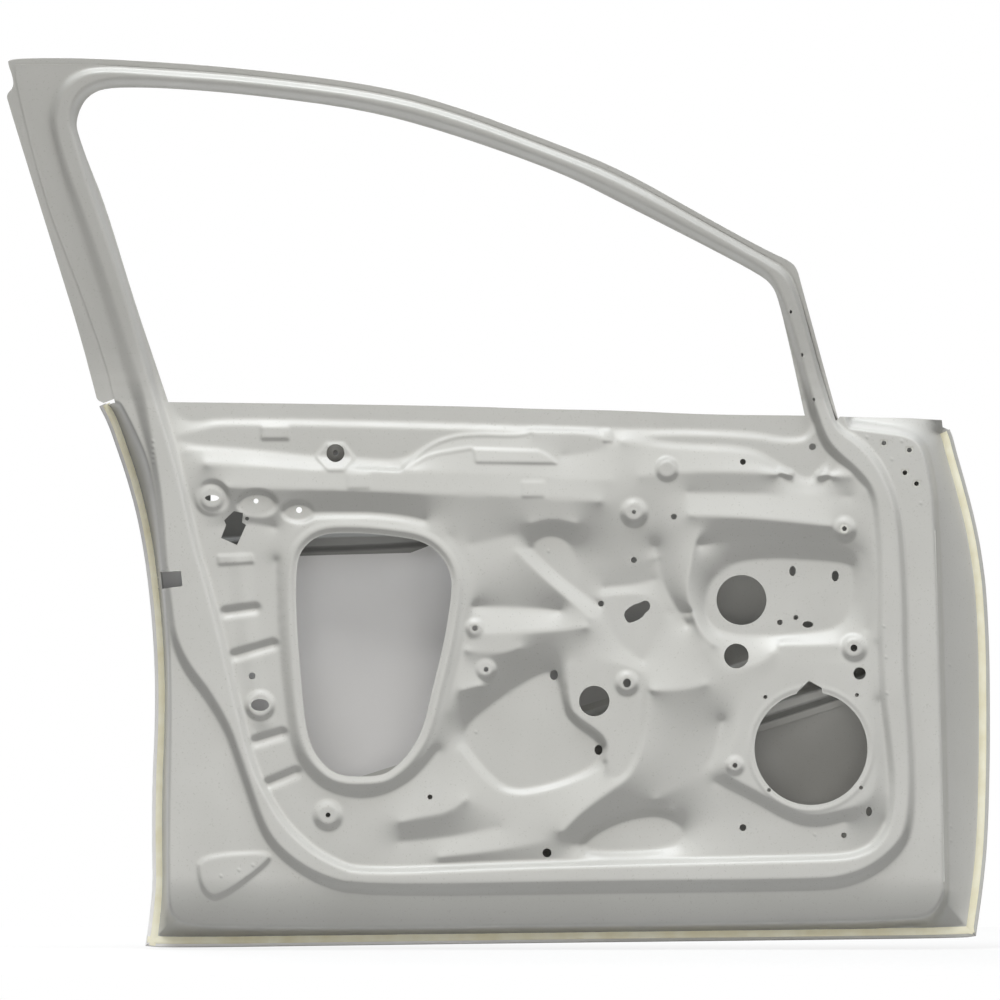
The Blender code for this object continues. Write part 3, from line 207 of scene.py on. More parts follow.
FRONT_FOOT_AREA_P = [(800, 395), (1010, 395), (1010, 960), (934, 960), (934, 480), (800, 480)]
LEAN_BREAKS_P = (400, 386, 372, 354)
LEDGE_ROWS_P, LEDGE_FALL, LEDGE_CURVE = (878, 930), 0.010, 1.7

ACCESS_P = [
    (296, 567), (302, 548), (321, 533.5), (356, 532.5), (394, 536), (423, 541), (442, 555.5),
    (452, 576.5), (451, 599.5), (444, 643.5), (432, 691), (423, 730), (409, 754), (390, 772),
    (375, 776.5), (342, 776.5), (327, 768), (314, 752.5), (306, 730), (301, 682), (296, 615),
]
ACCESS_RIM_P = [
    (282, 565), (289, 542), (302, 525), (321, 519), (356, 518), (394, 521), (423, 528), (446, 540),
    (463, 565), (467, 586), (461, 634), (451, 672), (442, 710), (432, 747), (409, 774), (382, 788),
    (356, 791), (333, 785), (314, 772), (298, 749), (292.5, 710), (285, 643.5),
]
SPEAKER_PLATEAU_P = [
    (776, 667.5), (837, 659.5), (862, 676), (876, 720), (878, 760), (876, 798), (841, 812), (814, 817.5),
    (791, 812), (751, 789), (723, 775), (732, 750), (742.5, 705), (760, 680),
]
MOTOR_PLATE_P = [
    (746, 556), (847, 561), (853.6, 568), (850.6, 626), (800, 636), (725, 636), (706, 622), (704, 599),
    (712, 576),
]
KIDNEY_P = [
    (465, 721), (543, 669), (557, 673), (565.5, 709), (572, 721), (599, 739), (605, 750), (595, 767.5),
    (552, 785), (509, 792), (485, 771), (465, 745),
]
BELT_FLANGE_P = [
    (158, 380), (815, 380), (812, 434), (792, 440), (744, 431), (602, 428.6), (460, 424), (223, 418),
    (193, 424), (177, 417),
]
LOWER_POCKET_P = [
    (579, 846), (599, 830), (625, 819), (652, 814), (670, 817), (688, 834), (670, 850), (600, 854),
]
BELT_PLATE_REAR_P = [
    (172, 436), (199, 430), (223, 423), (460, 428.5), (528, 431), (524, 433.5), (470, 432), (440, 437),
    (418, 450), (402, 461), (353, 458), (318, 457), (247, 449), (186, 445),
]
BELT_PLATE_FRONT_P = [
    (640, 434), (744, 436), (790, 444), (812, 438), (820, 420), (828, 446), (820, 476), (801, 480),
    (767, 455), (744, 446), (660, 443),
]
LOBE_P = [(533, 541), (545, 534), (560, 535), (572, 546), (578, 565), (570, 580), (556, 570), (540, 556)]
QUAD_P = [(600, 596), (600, 596), (649, 592), (668, 617), (643, 662), (643, 662), (613, 639)]
CABLE_PLATEAU_P = [
    (566, 668), (577, 658), (603, 660), (640, 668), (643, 687), (639, 741), (630, 770), (612, 783),
    (604, 760), (607, 748), (601, 735), (575, 718), (568, 708),
]
CORNER_EMBOSS_RISE = 0.003
CORNER_EMBOSS_P = [(199.5, 858), (266, 853), (270, 860), (219, 898), (206, 893), (200, 876)]

# The field inside the ring is a membrane stretched between flat areas and drawn lines,
# each at its level in metres outboard of the ring's top
FIELD_LEVEL = 0.013
FINE_WALL = 0.004
MEMBRANE_ROUNDS = 80
MEMBRANE_RADIUS = 0.0016
FIELD_AREAS = [
    (0.0220, BELT_FLANGE_P), (0.0170, BELT_PLATE_REAR_P), (0.0170, BELT_PLATE_FRONT_P),
    (0.0160, LOBE_P), (0.0135, QUAD_P), (0.0080, CABLE_PLATEAU_P), (0.0220, LOWER_POCKET_P),
    (0.0200, KIDNEY_P), (0.0170, MOTOR_PLATE_P), (0.0040, SPEAKER_PLATEAU_P), (0.0050, ACCESS_RIM_P),
]
FIELD_LINES = [
    (0.0120, [(196, 500), (205, 560), (215, 610), (232, 662), (246, 715), (258, 766), (270, 792),
              (287, 820), (313, 846), (336, 861), (362, 868), (500, 862), (600, 859), (820, 854),
              (842, 853), (860, 850), (875, 840), (887, 822)]),
    (0.0048, [(866, 490), (872, 508), (876, 560), (876, 640)]),
    (0.0076, [(879, 700), (885, 745), (889, 790)]),
    (0.0113, [(276, 560), (279, 644), (286, 710), (292, 752), (309, 778), (330, 792), (356, 798),
              (385, 795), (414, 779), (438, 750)]),
    (0.0069, [(448, 712), (457, 672), (467, 634), (473, 586), (468, 560), (450, 536)]),
    (0.0125, [(186, 451), (247, 455), (314, 463)]),
    (0.0125, [(356, 465), (401, 468)]),
    (0.0048, [(205, 464), (281, 468), (323, 471), (409, 471), (500, 475), (560, 479), (610, 481)]),
    (0.0011, [(225, 487), (300, 489), (377, 491), (440, 494), (500, 495), (547, 498), (600, 501)]),
    (0.0120, [(205, 530), (240, 522), (275, 528)]),
    (0.0100, [(300, 514), (356, 513), (394, 515), (425, 521)]),
    (0.0085, [(470, 545), (495, 540), (515, 535)]),
    (0.0140, [(474, 607), (520, 608), (560, 611)]),
    (0.0036, [(470, 634), (500, 634), (547, 631), (586, 627)]),
    (0.0036, [(466, 650), (500, 655), (520, 648)]),
    (0.0036, [(462, 690), (480, 686)]),
    (0.0062, [(517, 552), (545, 578), (570, 600), (590, 618)]),
    (0.0160, [(531, 548), (556, 574), (580, 592), (600, 606)]),
    (0.0033, [(530, 524), (553, 519), (576, 524)]),
    (0.0140, [(596, 566), (633, 564), (660, 556)]),
    (0.0170, [(604, 588), (633, 586), (655, 580)]),
    (0.0155, [(668, 613), (690, 612)]),
    (0.0004, [(650, 690), (680, 690), (706, 684)]),
    (0.0033, [(700, 530), (690, 560), (686, 600), (700, 632), (715, 645)]),
    (0.0155, [(655, 545), (662, 585), (688, 625)]),
    (0.0100, [(700, 545), (746, 540), (850, 546), (866, 556), (866, 630)]),
    (0.0120, [(622, 441), (660, 450), (744, 453), (765, 462), (799, 489), (824, 485), (838, 462)]),
    (0.0048, [(640, 476), (690, 471), (760, 472), (850, 476)]),
    (0.0085, [(688, 493), (760, 494), (850, 497)]),
    (0.0011, [(690, 515), (760, 518), (830, 526)]),
    (0.0033, [(705, 648), (720, 675), (760, 664), (775, 652)]),
    (0.0048, [(780, 645), (838, 645)]),
    (0.0120, [(715, 782), (750, 799), (790, 822), (815, 828), (845, 821)]),
    (0.0105, [(655, 800), (690, 780), (715, 760), (722, 720)]),
    (0.0130, [(460, 750), (482, 778), (508, 798), (553, 791), (598, 773), (610, 757)]),
    (0.0048, [(562, 832), (581, 812), (616, 786), (631, 775), (645, 741), (650, 690)]),
    (0.0150, [(574, 846), (595, 826), (622, 813), (652, 808), (674, 812)]),
    (0.0062, [(400, 822), (420, 817), (447, 813), (466, 799)]),
    (0.0130, [(400, 842), (450, 838), (500, 828)]),
    (0.0091, [(440, 857), (500, 850), (547, 841)]),
    (0.0140, [(532, 432), (602, 434), (606, 450), (562, 456)]),
]
# Small raised pads (outline, height) and ridges (path, half width, height, closed)
PADS_P = [
    ([(262, 427), (288, 427), (288, 438.5), (262, 438.5)], 0.0016),
    ([(316, 457), (327, 444), (343, 444), (354, 458), (343, 470), (328, 470)], 0.0020),
    ([(348, 474), (369, 474), (369, 487.5), (348, 487.5)], 0.0010),
    ([(522.5, 482), (543.5, 482), (543.5, 496), (522.5, 496)], 0.0010),
    ([(474, 449), (538, 451), (548, 456), (557, 463), (476, 462)], 0.0020),
    ([(218, 556), (252, 555), (253, 562), (219, 564)], 0.0014),
    ([(602, 430), (610, 430), (612, 441), (604, 441)], 0.0018),
]
RIDGES_P = [
    ([(402, 469.6), (422, 451), (440, 440.5), (468, 434), (523, 436), (532, 430)], 0.0032, 0.0018, False),
    ([(405, 469.6), (425, 457), (440, 453), (471, 448)], 0.0032, 0.0014, False),
    ([(240, 565), (248, 640), (262, 720)], 0.0180, 0.0014, False),
    ([(156, 566), (184, 565), (187, 591), (158, 595)], 0.0040, 0.0012, True),
]
SCALLOPS_P = [((257, 504), 36, 22, 0.0100), ((298, 512), 28, 17, 0.0110), ((212, 498), 30, 30, 0.0095)]
ACCESS_TUBE = (0.0085, 0.0085, 0.0022)
SPEAKER_LIP = (61.5, 0.0035, 0.0008)
BEADS_P = [
    ((226, 613), (255, 609)), ((235, 656), (273, 645)), ((256, 742), (282, 734)), ((267, 785), (296, 773)),
]
BEAD_WIDTH, BEAD_DEPTH = 0.020, 0.0042

# Bosses: centre in pixels, flat top radius, foot radius and height in metres
BOSSES = [
    ((328, 815), 0.011, 0.021, 0.0045), ((475, 628), 0.007, 0.013, 0.003),
    ((486, 669.5), 0.008, 0.015, 0.003), ((634, 512), 0.010, 0.019, 0.005),
    ((844.4, 528.6), 0.008, 0.017, 0.004), ((854, 648), 0.010, 0.019, 0.005),
    ((627, 683), 0.009, 0.017, 0.004), ((667, 469), 0.010, 0.016, 0.004),
    ((212, 498), 0.012, 0.017, 0.002), ((260, 705), 0.014, 0.020, 0.003),
    ((735, 765.4), 0.007, 0.013, 0.003),
]
ROUND_HOLES = [
    ((256, 501), 5), ((299, 510), 6), ((430, 797), 5), ((601, 603.6), 6), ((634, 560), 6),
    ((674, 516.6), 6), ((743, 461.8), 6), ((812.6, 446.7), 7), ((844, 835.4), 5.6),
    ((743, 827.7), 6.8), ((780, 622.4), 5.6), ((796, 617.5), 5), ((247, 518.7), 4),
    ((335.4, 453), 18), ((252, 676), 7), ((547, 853), 9), ((594.3, 701), 30.4), ((741.6, 600), 50),
    ((736.4, 656), 24.6), ((859.6, 673.4), 12.4), ((328, 815), 5), ((475, 628), 6),
    ((486, 669.5), 5), ((634, 512), 4), ((844.4, 528.6), 6), ((854, 648), 7), ((735, 765.4), 5),
    ((765.4, 697), 4), ((857, 695), 4), ((861, 787.7), 4), ((769, 790), 4),
]
OVAL_HOLES = [
    ((212, 498), 14, 6), ((260, 705), 18, 12), ((627, 683), 8, 9), ((554, 675), 8, 10), ((598.6, 750), 8, 10),
    ((792.7, 571), 6.5, 10), ((835.4, 576), 7, 10.7), ((808, 624.5), 10.7, 6.4), ((869, 811.6), 6, 9.5),
    ((790.6, 312), 2.4, 3.8), ((802, 355), 2.4, 3.8), ((813.7, 399.6), 2.4, 3.8),
]
SPEAKER_P, SPEAKER_RADIUS_P = (811, 748.5), 56.5
SPEAKER_NOTCH_P = [(797.5, 692), (809, 680.7), (822, 688)]
LATCH_OPENING_P = [(159.6, 572), (181, 571), (182.5, 586), (161.2, 589)]
LOCK_OPENING_P = [
    (234, 511), (243, 513), (242, 522.5), (246, 525), (237, 545), (221, 538), (226, 525), (224, 520.5),
    (229, 515.5),
]
PULL_OPENING_P = [
    (623, 613), (627, 622), (631, 623), (642, 618), (645, 613), (650, 609.5), (650, 603), (646, 600),
    (639.6, 603), (632.5, 605),
]
MIRROR_WINDOWS_P = [(884, 443), (909.5, 450), (905, 472.7), (916.6, 483.6)]
CAGE_WINDOW = 0.0100
DIMPLES_P = [
    (153, 441), (153, 446.5), (153, 452), (153, 457), (153, 462), (941.5, 594.6), (942.4, 622), (943.4, 647),
    (951, 665), (949, 812), (952, 827), (952, 841), (884, 626), (886, 657), (887, 693), (221, 876),
    (239, 870), (253, 865), (867, 437), (902, 441), (892, 459), (921, 503), (815, 834.5), (476, 732),
    (548.6, 551),
]
DIMPLE = (0.0006, 0.0026, 0.0005)

HANDLE_HOLE_P, HANDLE_HOLE = (234, 494), (0.062, 0.030)
HANDLE_PIVOT_P, HANDLE_PIVOT = (303, 506), (0.028, 0.020)
SKIN_BELT_P = [(942, 426), (840, 421), (600, 415), (300, 409.5), (160, 408)]
HANDLE_PLATE_P = [(180, 468), (440, 462), (447, 500), (447, 552), (300, 556), (182, 560)]
HANDLE_BEAD_P = [(196, 542), (436, 534), (437, 543), (198, 551)]
BELT_RAIL_OUTER_P = [(930, 428), (840, 424.5), (600, 418), (300, 413), (160, 411.5)]
BELT_RAIL_INNER_P = [(776, 418.5), (700, 417), (620, 413), (460, 409), (260, 406), (200, 405.5)]
BEAM_REAR_P, BEAM_FRONT_P = (206, 868), (918, 641)


# Settings shown in the sidebar

class DoorShellSizes(bpy.types.PropertyGroup):
    """Sizes of the finished sheets."""
    relief_tolerance: FloatProperty(
        name="Relief tolerance", description="How far a flat facet may stray from the pressed shape",
        default=0.00006, min=0.00001, unit="LENGTH")
    grid: FloatProperty(
        name="Coarse grid", description="Spacing of a plain sheet's points",
        default=0.0128, min=0.002, unit="LENGTH")
    press_radius: FloatProperty(
        name="Press radius", description="Softness of the bends in the inner pressing",
        default=0.0016, min=0.0, unit="LENGTH")


class DoorShellColours(bpy.types.PropertyGroup):
    """Colours of the finishes."""
    primer: FloatVectorProperty(
        name="Primer", description="Dip primer on the inner pressing", subtype="COLOR", size=3,
        default=(0.480, 0.475, 0.452), min=0, max=1)
    primer_deep: FloatVectorProperty(
        name="Primer in recesses", description="Primer where it pools in recesses", subtype="COLOR", size=3,
        default=(0.385, 0.380, 0.352), min=0, max=1)
    sealant: FloatVectorProperty(
        name="Sealant", description="Seam sealer brushed on the hem", subtype="COLOR", size=3,
        default=(0.90, 0.87, 0.70), min=0, max=1)
    # Painted light: the colour the skin's inner face pales to toward the rear, standing in for light through
    # the openings
    skin_rear_painted_light: FloatVectorProperty(
        name="Skin, rear inside", description="Thin primer inside the skin's rear half",
        subtype="COLOR", size=3,
        default=(0.74, 0.73, 0.73), min=0, max=1)
    # Painted shade: the handle plate takes this dark colour for the shade it lies in behind the skin
    plate: FloatVectorProperty(
        name="Handle plate", description="Dark coat of the plate behind the handle", subtype="COLOR", size=3,
        default=(0.17, 0.17, 0.16), min=0, max=1)
    mastic: FloatVectorProperty(
        name="Mastic", description="Damping mastic under the skin", subtype="COLOR", size=3,
        default=(0.05, 0.05, 0.05), min=0, max=1)


def sizes():
    return bpy.context.scene.door_shell_sizes


def colours():
    return bpy.context.scene.door_shell_colours


# Layout in side view

def at(pixel):
    """Side-view place (x, z) in metres of a photograph pixel."""
    across = DOOR_LENGTH / (PHOTO_RIGHT - PHOTO_LEFT)
    up = DOOR_HEIGHT / (PHOTO_BOTTOM - PHOTO_TOP)
    return ((pixel[0] - SEAT_PX) * across, (SEAT_PY - pixel[1]) * up)


PIXEL = DOOR_LENGTH / (PHOTO_RIGHT - PHOTO_LEFT)


def trace(pixels):
    """Side-view places of photograph pixels, unrounded."""
    return np.array([at(pixel) for pixel in pixels])


def tidy(path, closed):
    """The path without points that fall on their neighbours."""
    keep = [0]
    for index in range(1, len(path)):
        if np.linalg.norm(path[index] - path[keep[-1]]) > SAME_POINT:
            keep.append(index)
    if closed and np.linalg.norm(path[keep[-1]] - path[0]) <= SAME_POINT:
        keep.pop()
    return path[keep]


def smooth(path, closed=True, rounds=2):
    """Rounds the corners of a drawn path by cutting them; a doubled point keeps its corner tight."""
    path = np.asarray(path, dtype=float)
    for _ in range(rounds):
        start = path if closed else path[:-1]
        end = np.roll(path, -1, axis=0) if closed else path[1:]
        cut = np.stack([start * 0.75 + end * 0.25, start * 0.25 + end * 0.75], axis=1).reshape(-1, 2)
        path = cut if closed else np.vstack([path[:1], cut, path[-1:]])
    return tidy(path, closed)


def drawn(pixels, closed=True, rounds=2):
    """Side-view path through photograph pixels, its corners rounded."""
    return smooth(trace(pixels), closed, rounds)


def resample(path, step, closed=True):
    """The path with its long runs divided, so that no run is longer than the step."""
    ends = np.roll(path, -1, axis=0) if closed else path[1:]
    points = []
    for start, end in zip(path, ends):
        parts = max(1, math.ceil(float(np.linalg.norm(end - start)) / step))
        points += [start + (end - start) * part / parts for part in range(parts)]
    if not closed:
        points.append(path[-1])
    return np.array(points)


def offset_path(path, distance, closed=True):
    """The path moved to its left by the distance, with mitred corners."""
    before = np.roll(path, 1, axis=0)
    after = np.roll(path, -1, axis=0)
    if not closed:
        before[0] = path[0] - (path[1] - path[0])
        after[-1] = path[-1] + (path[-1] - path[-2])
    incoming = path - before
    outgoing = after - path
    incoming /= np.linalg.norm(incoming, axis=1, keepdims=True)
    outgoing /= np.linalg.norm(outgoing, axis=1, keepdims=True)
    left_in = np.column_stack([-incoming[:, 1], incoming[:, 0]])
    left_out = np.column_stack([-outgoing[:, 1], outgoing[:, 0]])
    middle = left_in + left_out
    return path + 2 * distance * middle / (middle * middle).sum(axis=1, keepdims=True)


def ellipse(pixel, width_p, height_p, sides):
    """A loop of so many sides round a pixel, its width and height in pixels."""
    angles = np.arange(sides) * math.tau / sides
    ring = np.column_stack([np.cos(angles) * width_p, np.sin(angles) * height_p]) * PIXEL / 2
    return np.array(at(pixel)) + ring


def rectangle(centre, size):
    """Corners of a rectangle, anticlockwise from its lower rear one."""
    half = np.array(size) / 2
    return np.array(centre) + half * np.array([(-1, -1), (1, -1), (1, 1), (-1, 1)])


def is_inside(points, loop):
    """Which points lie inside the loop."""
    inside = np.zeros(len(points), dtype=bool)
    x, z = points.T
    for (ax, az), (bx, bz) in zip(loop, np.roll(loop, -1, axis=0)):
        if az != bz:
            crosses = (az > z) != (bz > z)
            inside ^= crosses & (x < (bx - ax) * (z - az) / (bz - az) + ax)
    return inside


def ease(share):
    """The share held to 0 and 1, with a soft start and end."""
    share = np.clip(share, 0, 1)
    return share * share * (3 - 2 * share)


def ramp(share):
    """The share held to 0 and 1."""
    return np.clip(share, 0, 1)


def mix(first, second, share):
    return first + (second - first) * share


# Relief grid: depth along Y over the side view

LOW = np.array(at((-4, 962)))
HIGH = np.array(at((1004, 48)))
GRID_X = np.arange(LOW[0], HIGH[0], PITCH)
GRID_Z = np.arange(LOW[1], HIGH[1], PITCH)


class Window:
    """A rectangle of the relief grid, around some points."""

    def __init__(self, points=None, reach=0.0):
        if points is None:
            self.columns, self.rows = slice(0, len(GRID_X)), slice(0, len(GRID_Z))
        else:
            low, high = points.min(axis=0) - reach, points.max(axis=0) + reach
            self.columns = slice(*np.searchsorted(GRID_X, (low[0], high[0])))
            self.rows = slice(*np.searchsorted(GRID_Z, (low[1], high[1])))
        self.x, self.z = GRID_X[self.columns], GRID_Z[self.rows]
        self.place = (self.rows, self.columns)

    def distance(self, path, closed=True, reach=REACH):
        """Distance to the path, no more than the reach."""
        field = np.full((len(self.z), len(self.x)), reach)
        ends = np.roll(path, -1, axis=0) if closed else path[1:]
        for start, end in zip(path, ends):
            low, high = np.minimum(start, end) - reach, np.maximum(start, end) + reach
            c0, c1 = np.searchsorted(self.x, (low[0], high[0]))
            r0, r1 = np.searchsorted(self.z, (low[1], high[1]))
            if c0 == c1 or r0 == r1:
                continue
            across = self.x[None, c0:c1] - start[0]
            up = self.z[r0:r1, None] - start[1]
            run = end - start
            share = np.clip((across * run[0] + up * run[1]) / (run @ run), 0, 1)
            here = np.hypot(across - share * run[0], up - share * run[1])
            part = field[r0:r1, c0:c1]
            np.minimum(part, here, out=part)
        return field

    def inside(self, loop):
        mask = np.zeros((len(self.z), len(self.x)), dtype=bool)
        for (ax, az), (bx, bz) in zip(loop, np.roll(loop, -1, axis=0)):
            if az != bz:
                rows = np.flatnonzero((az > self.z) != (bz > self.z))
                crossing = (bx - ax) * (self.z[rows] - az) / (bz - az) + ax
                mask[rows] ^= self.x[None, :] < crossing[:, None]
        return mask

    def outside_distance(self, loop, reach=REACH):
        return np.where(self.inside(loop), 0, self.distance(loop, True, reach))

    def between(self, inner, outer, reach=REACH):
        """0 inside the inner loop, 1 outside the outer loop, and even from one to the other."""
        from_inner = self.outside_distance(inner, reach)
        to_outer = np.where(self.inside(outer), self.distance(outer, True, reach), 0)
        total = from_inner + to_outer
        return np.divide(from_inner, total, out=np.zeros_like(total), where=total > 0)


def soften(depth, radius):
    """Gaussian softening of a relief, which gives its bends their radii."""
    reach = int(math.ceil(3 * radius / PITCH))
    if reach < 1:
        return depth
    weights = np.exp(-0.5 * (np.arange(-reach, reach + 1) * PITCH / radius) ** 2)
    weights /= weights.sum()
    for axis in (0, 1):
        pad = [(reach, reach) if axis == side else (0, 0) for side in (0, 1)]
        wide = np.pad(depth, pad, mode="edge")
        count = depth.shape[axis]
        total = np.zeros_like(depth)
        for index, weight in enumerate(weights):
            part = wide[index:index + count] if axis == 0 else wide[:, index:index + count]
            total += weight * part
        depth = total
    return depth


def press_area(depth, loop, level, wall):
    """Presses the area inside the loop to a level, with a wall of that width round it."""
    window = Window(loop, wall)
    share = ease(1 - window.outside_distance(loop, wall) / wall)
    depth[window.place] = mix(depth[window.place], level, share)


def raise_pad(depth, loop, height, wall):
    """Raises the area inside the loop by a height, with a wall of that width round it."""
    window = Window(loop, wall)
    depth[window.place] -= height * ease(1 - window.outside_distance(loop, wall) / wall)


def raise_line(depth, path, half_width, height, closed=False):
    """A rounded ridge along a path, inboard by the height; a negative height is a groove."""
    window = Window(path, half_width)
    depth[window.place] -= height * ease(1 - window.distance(path, closed, half_width) / half_width)


def raise_spot(depth, centre, top, foot, height):
    """A small round rise on the surface as it lies."""
    centre = np.array(centre)
    window = Window(centre[None, :], foot)
    radius = np.hypot(window.x[None, :] - centre[0], window.z[:, None] - centre[1])
    depth[window.place] -= height * ease((foot - radius) / max(foot - top, PITCH))


def boss(depth, centre, top, foot, height):
    """A boss whose flat top stands off the surface round it."""
    centre = np.array(centre)
    window = Window(centre[None, :], foot)
    radius = np.hypot(window.x[None, :] - centre[0], window.z[:, None] - centre[1])
    part = depth[window.place]
    level = float(part[np.unravel_index(np.argmin(radius), radius.shape)]) - height
    depth[window.place] = mix(part, level, ease((foot - radius) / (foot - top)))


def sample(depth, points):
    """Depth at points (x, z), read between the grid's cells."""
    u = np.clip((points[:, 0] - GRID_X[0]) / PITCH, 0, len(GRID_X) - 1.001)
    v = np.clip((points[:, 1] - GRID_Z[0]) / PITCH, 0, len(GRID_Z) - 1.001)
    i, j = u.astype(int), v.astype(int)
    fu, fv = u - i, v - j
    low = mix(depth[j, i], depth[j, i + 1], fu)
    high = mix(depth[j + 1, i], depth[j + 1, i + 1], fu)
    return mix(low, high, fv)


# Depths of the door's surfaces

HEM_EDGE = drawn(HEM_EDGE_P, closed=False)
WINDOW = drawn(WINDOW_P)
RING_TOP, RING_FOOT, RING_INNER = drawn(RING_TOP_P), drawn(RING_FOOT_P), drawn(RING_INNER_P)
HEM_LINE = offset_path(HEM_EDGE, HEM_FLAT, closed=False)
FRONT_END = at(REAR_WALL_CROWN_P[-1])[0]
WALL_CROWN = np.vstack([
    drawn(REAR_WALL_CROWN_P + FRONT_WALL_CROWN_P, closed=False), trace(PAST_FRAME_P),
])
WALL_FOOT = np.vstack([
    HEM_LINE[HEM_LINE[:, 0] <= FRONT_END], drawn(FRONT_WALL_FOOT_P, closed=False), trace(PAST_FRAME_P),
])
HEM_LINE_CLOSED = np.vstack([
    HEM_LINE, trace(FRONT_BELT_P[-1:] + [(1010, 420), (1010, 30), (0, 30), (0, 404)]),
])
BELT_TOP = at(WINDOW_P[0])[1]
SKIN_TOP = at((0, 409))[1]
SKIN_BOTTOM = at((0, PHOTO_BOTTOM))[1]


def skin_depth(points):
    """Outer face of the skin: crowned, turned under at the bottom and falling off at both ends."""
    x, z = points[..., 0], points[..., 1]
    drop_share = (SKIN_TOP - z) / (SKIN_TOP - SKIN_BOTTOM) - SKIN_WIDEST_SHARE
    turn_under = SKIN_TURN_UNDER * (drop_share / (1 - SKIN_WIDEST_SHARE)) ** 2
    middle = (at((PHOTO_LEFT, 0))[0] + at((PHOTO_RIGHT, 0))[0]) / 2
    end_share = (x - middle) / (DOOR_LENGTH / 2)
    return SKIN_CROWN_Y - turn_under - SKIN_END_DROP * end_share ** 2


def frame_lean():
    """The window frame leans inboard from a bend at the belt."""
    fold = FRAME_LEAN_SLOPE / len(LEAN_BREAKS_P)
    rows = np.zeros(len(GRID_Z))
    for row in LEAN_BREAKS_P:
        rows -= fold * np.maximum(0, GRID_Z - at((0, row))[1])
    return rows[:, None]


def hem_relief():
    """Face of the pressing where it lies flat in the skin's hem."""
    grid = np.stack(np.meshgrid(GRID_X, GRID_Z), axis=-1)
    return skin_depth(grid) - SHEET - HEM_PITCH


def stretch(levels, known):
    """A membrane through the known levels, settled on coarse blocks of cells first."""
    rows, columns = levels.shape
    membrane = None
    for cells in (32, 16, 8, 4, 2, 1):
        shape = (-(-rows // cells), -(-columns // cells))
        wide = np.zeros((2, shape[0] * cells, shape[1] * cells))
        wide[:, :rows, :columns] = levels * known, known
        total, count = wide.reshape(2, shape[0], cells, shape[1], cells).sum(axis=(2, 4))
        fixed = count > 0
        level = total / np.maximum(count, 1)
        # A membrane through the known levels, relaxed on coarse blocks of cells first.
        if membrane is None:
            membrane = np.full(shape, FIELD_LEVEL)
        else:
            membrane = membrane.repeat(2, axis=0).repeat(2, axis=1)[:shape[0], :shape[1]]
        for _ in range(MEMBRANE_ROUNDS):
            membrane[fixed] = level[fixed]
            around = np.pad(membrane, 1, mode="edge")
            membrane = (around[:-2, 1:-1] + around[2:, 1:-1] + around[1:-1, :-2] + around[1:-1, 2:]) / 4
        membrane[fixed] = level[fixed]
    return membrane


def press_field():
    """Field inside the ring, outboard of the ring's top."""
    levels = np.zeros((len(GRID_Z), len(GRID_X)))
    known = np.zeros(levels.shape, dtype=bool)
    full = Window()
    for level, path in FIELD_LINES:
        on_line = full.distance(drawn(path, closed=False), False, 2 * PITCH) < PITCH
        levels[on_line], known[on_line] = level, True
    for level, outline in FIELD_AREAS:
        area = full.inside(drawn(outline))
        levels[area], known[area] = level, True
    depth = soften(stretch(levels, known), MEMBRANE_RADIUS)
    for pixel, width, height, level in SCALLOPS_P:
        press_area(depth, ellipse(pixel, width, height, 32), level, FINE_WALL)
    for outline, height in PADS_P:
        raise_pad(depth, trace(outline), height, FINE_WALL / 2)
    for path, half_width, height, closed in RIDGES_P:
        raise_line(depth, drawn(path, closed), half_width, height, closed)
    for ends in BEADS_P:
        raise_line(depth, trace(ends), BEAD_WIDTH / 2, -BEAD_DEPTH)
    inset, half_width, height = ACCESS_TUBE
    raise_line(depth, offset_path(drawn(ACCESS_P), inset), half_width, height, True)
    lip, half_width, height = SPEAKER_LIP
    raise_line(depth, ellipse(SPEAKER_P, 2 * lip, 2 * lip, 64), half_width, height, True)
    for pixel, top, foot, height in BOSSES:
        boss(depth, at(pixel), top, foot, height)
    return depth


def press_inner_panel(radius):
    """Visible face of the inner pressing."""
    full = Window()
    inward = np.where(full.inside(RING_INNER), full.distance(RING_INNER), 0)
    depth = RIM_Y + SEAL_STEP * ease(full.between(RING_TOP, RING_FOOT))
    window_share = ease((GRID_Z[:, None] - BELT_TOP) / BELT_BLEND)
    level = mix(press_field(), WINDOW_WALL_DEPTH, window_share)
    depth = depth + level * ease(inward / RING_WALL)
    press_area(depth, drawn(CORNER_EMBOSS_P), RIM_Y + SEAL_STEP - CORNER_EMBOSS_RISE, FINE_WALL)
    ledge_top, ledge_foot = (at((0, row))[1] for row in LEDGE_ROWS_P)
    fall = ramp((ledge_top - GRID_Z) / (ledge_top - ledge_foot))
    depth = depth + LEDGE_FALL * fall[:, None] ** LEDGE_CURVE
    depth = depth + frame_lean()
    hem = hem_relief()
    foot = hem.copy()
    press_area(foot, trace(FRONT_FOOT_AREA_P), FRONT_FOOT_Y, FRONT_FOOT_BLEND)
    depth = mix(depth, foot, full.between(WALL_CROWN, WALL_FOOT))
    depth = mix(depth, hem, full.between(WALL_FOOT, HEM_LINE_CLOSED))
    depth = soften(depth, radius)
    for pixel in DIMPLES_P:
        raise_spot(depth, at(pixel), *DIMPLE)
    return depth


def press_frame_rail(radius):
    """Inboard face of the window frame's outer half, which lies behind the inner pressing."""
    full = Window()
    clearance = SHEET + SHEET_CLEARANCE
    flange, bottom = RIM_Y + SEAL_STEP + clearance, RIM_Y + FRAME_RAIL_DEPTH
    pinch = RIM_Y + WINDOW_WALL_DEPTH + clearance
    depth = mix(bottom, flange, full.between(RING_TOP, RING_FOOT))
    near_window = ramp(1 - (full.distance(WINDOW) - PINCH_FLANGE) / PINCH_FLANGE)
    return soften(mix(depth, pinch, near_window) + frame_lean(), radius)


# Sheets

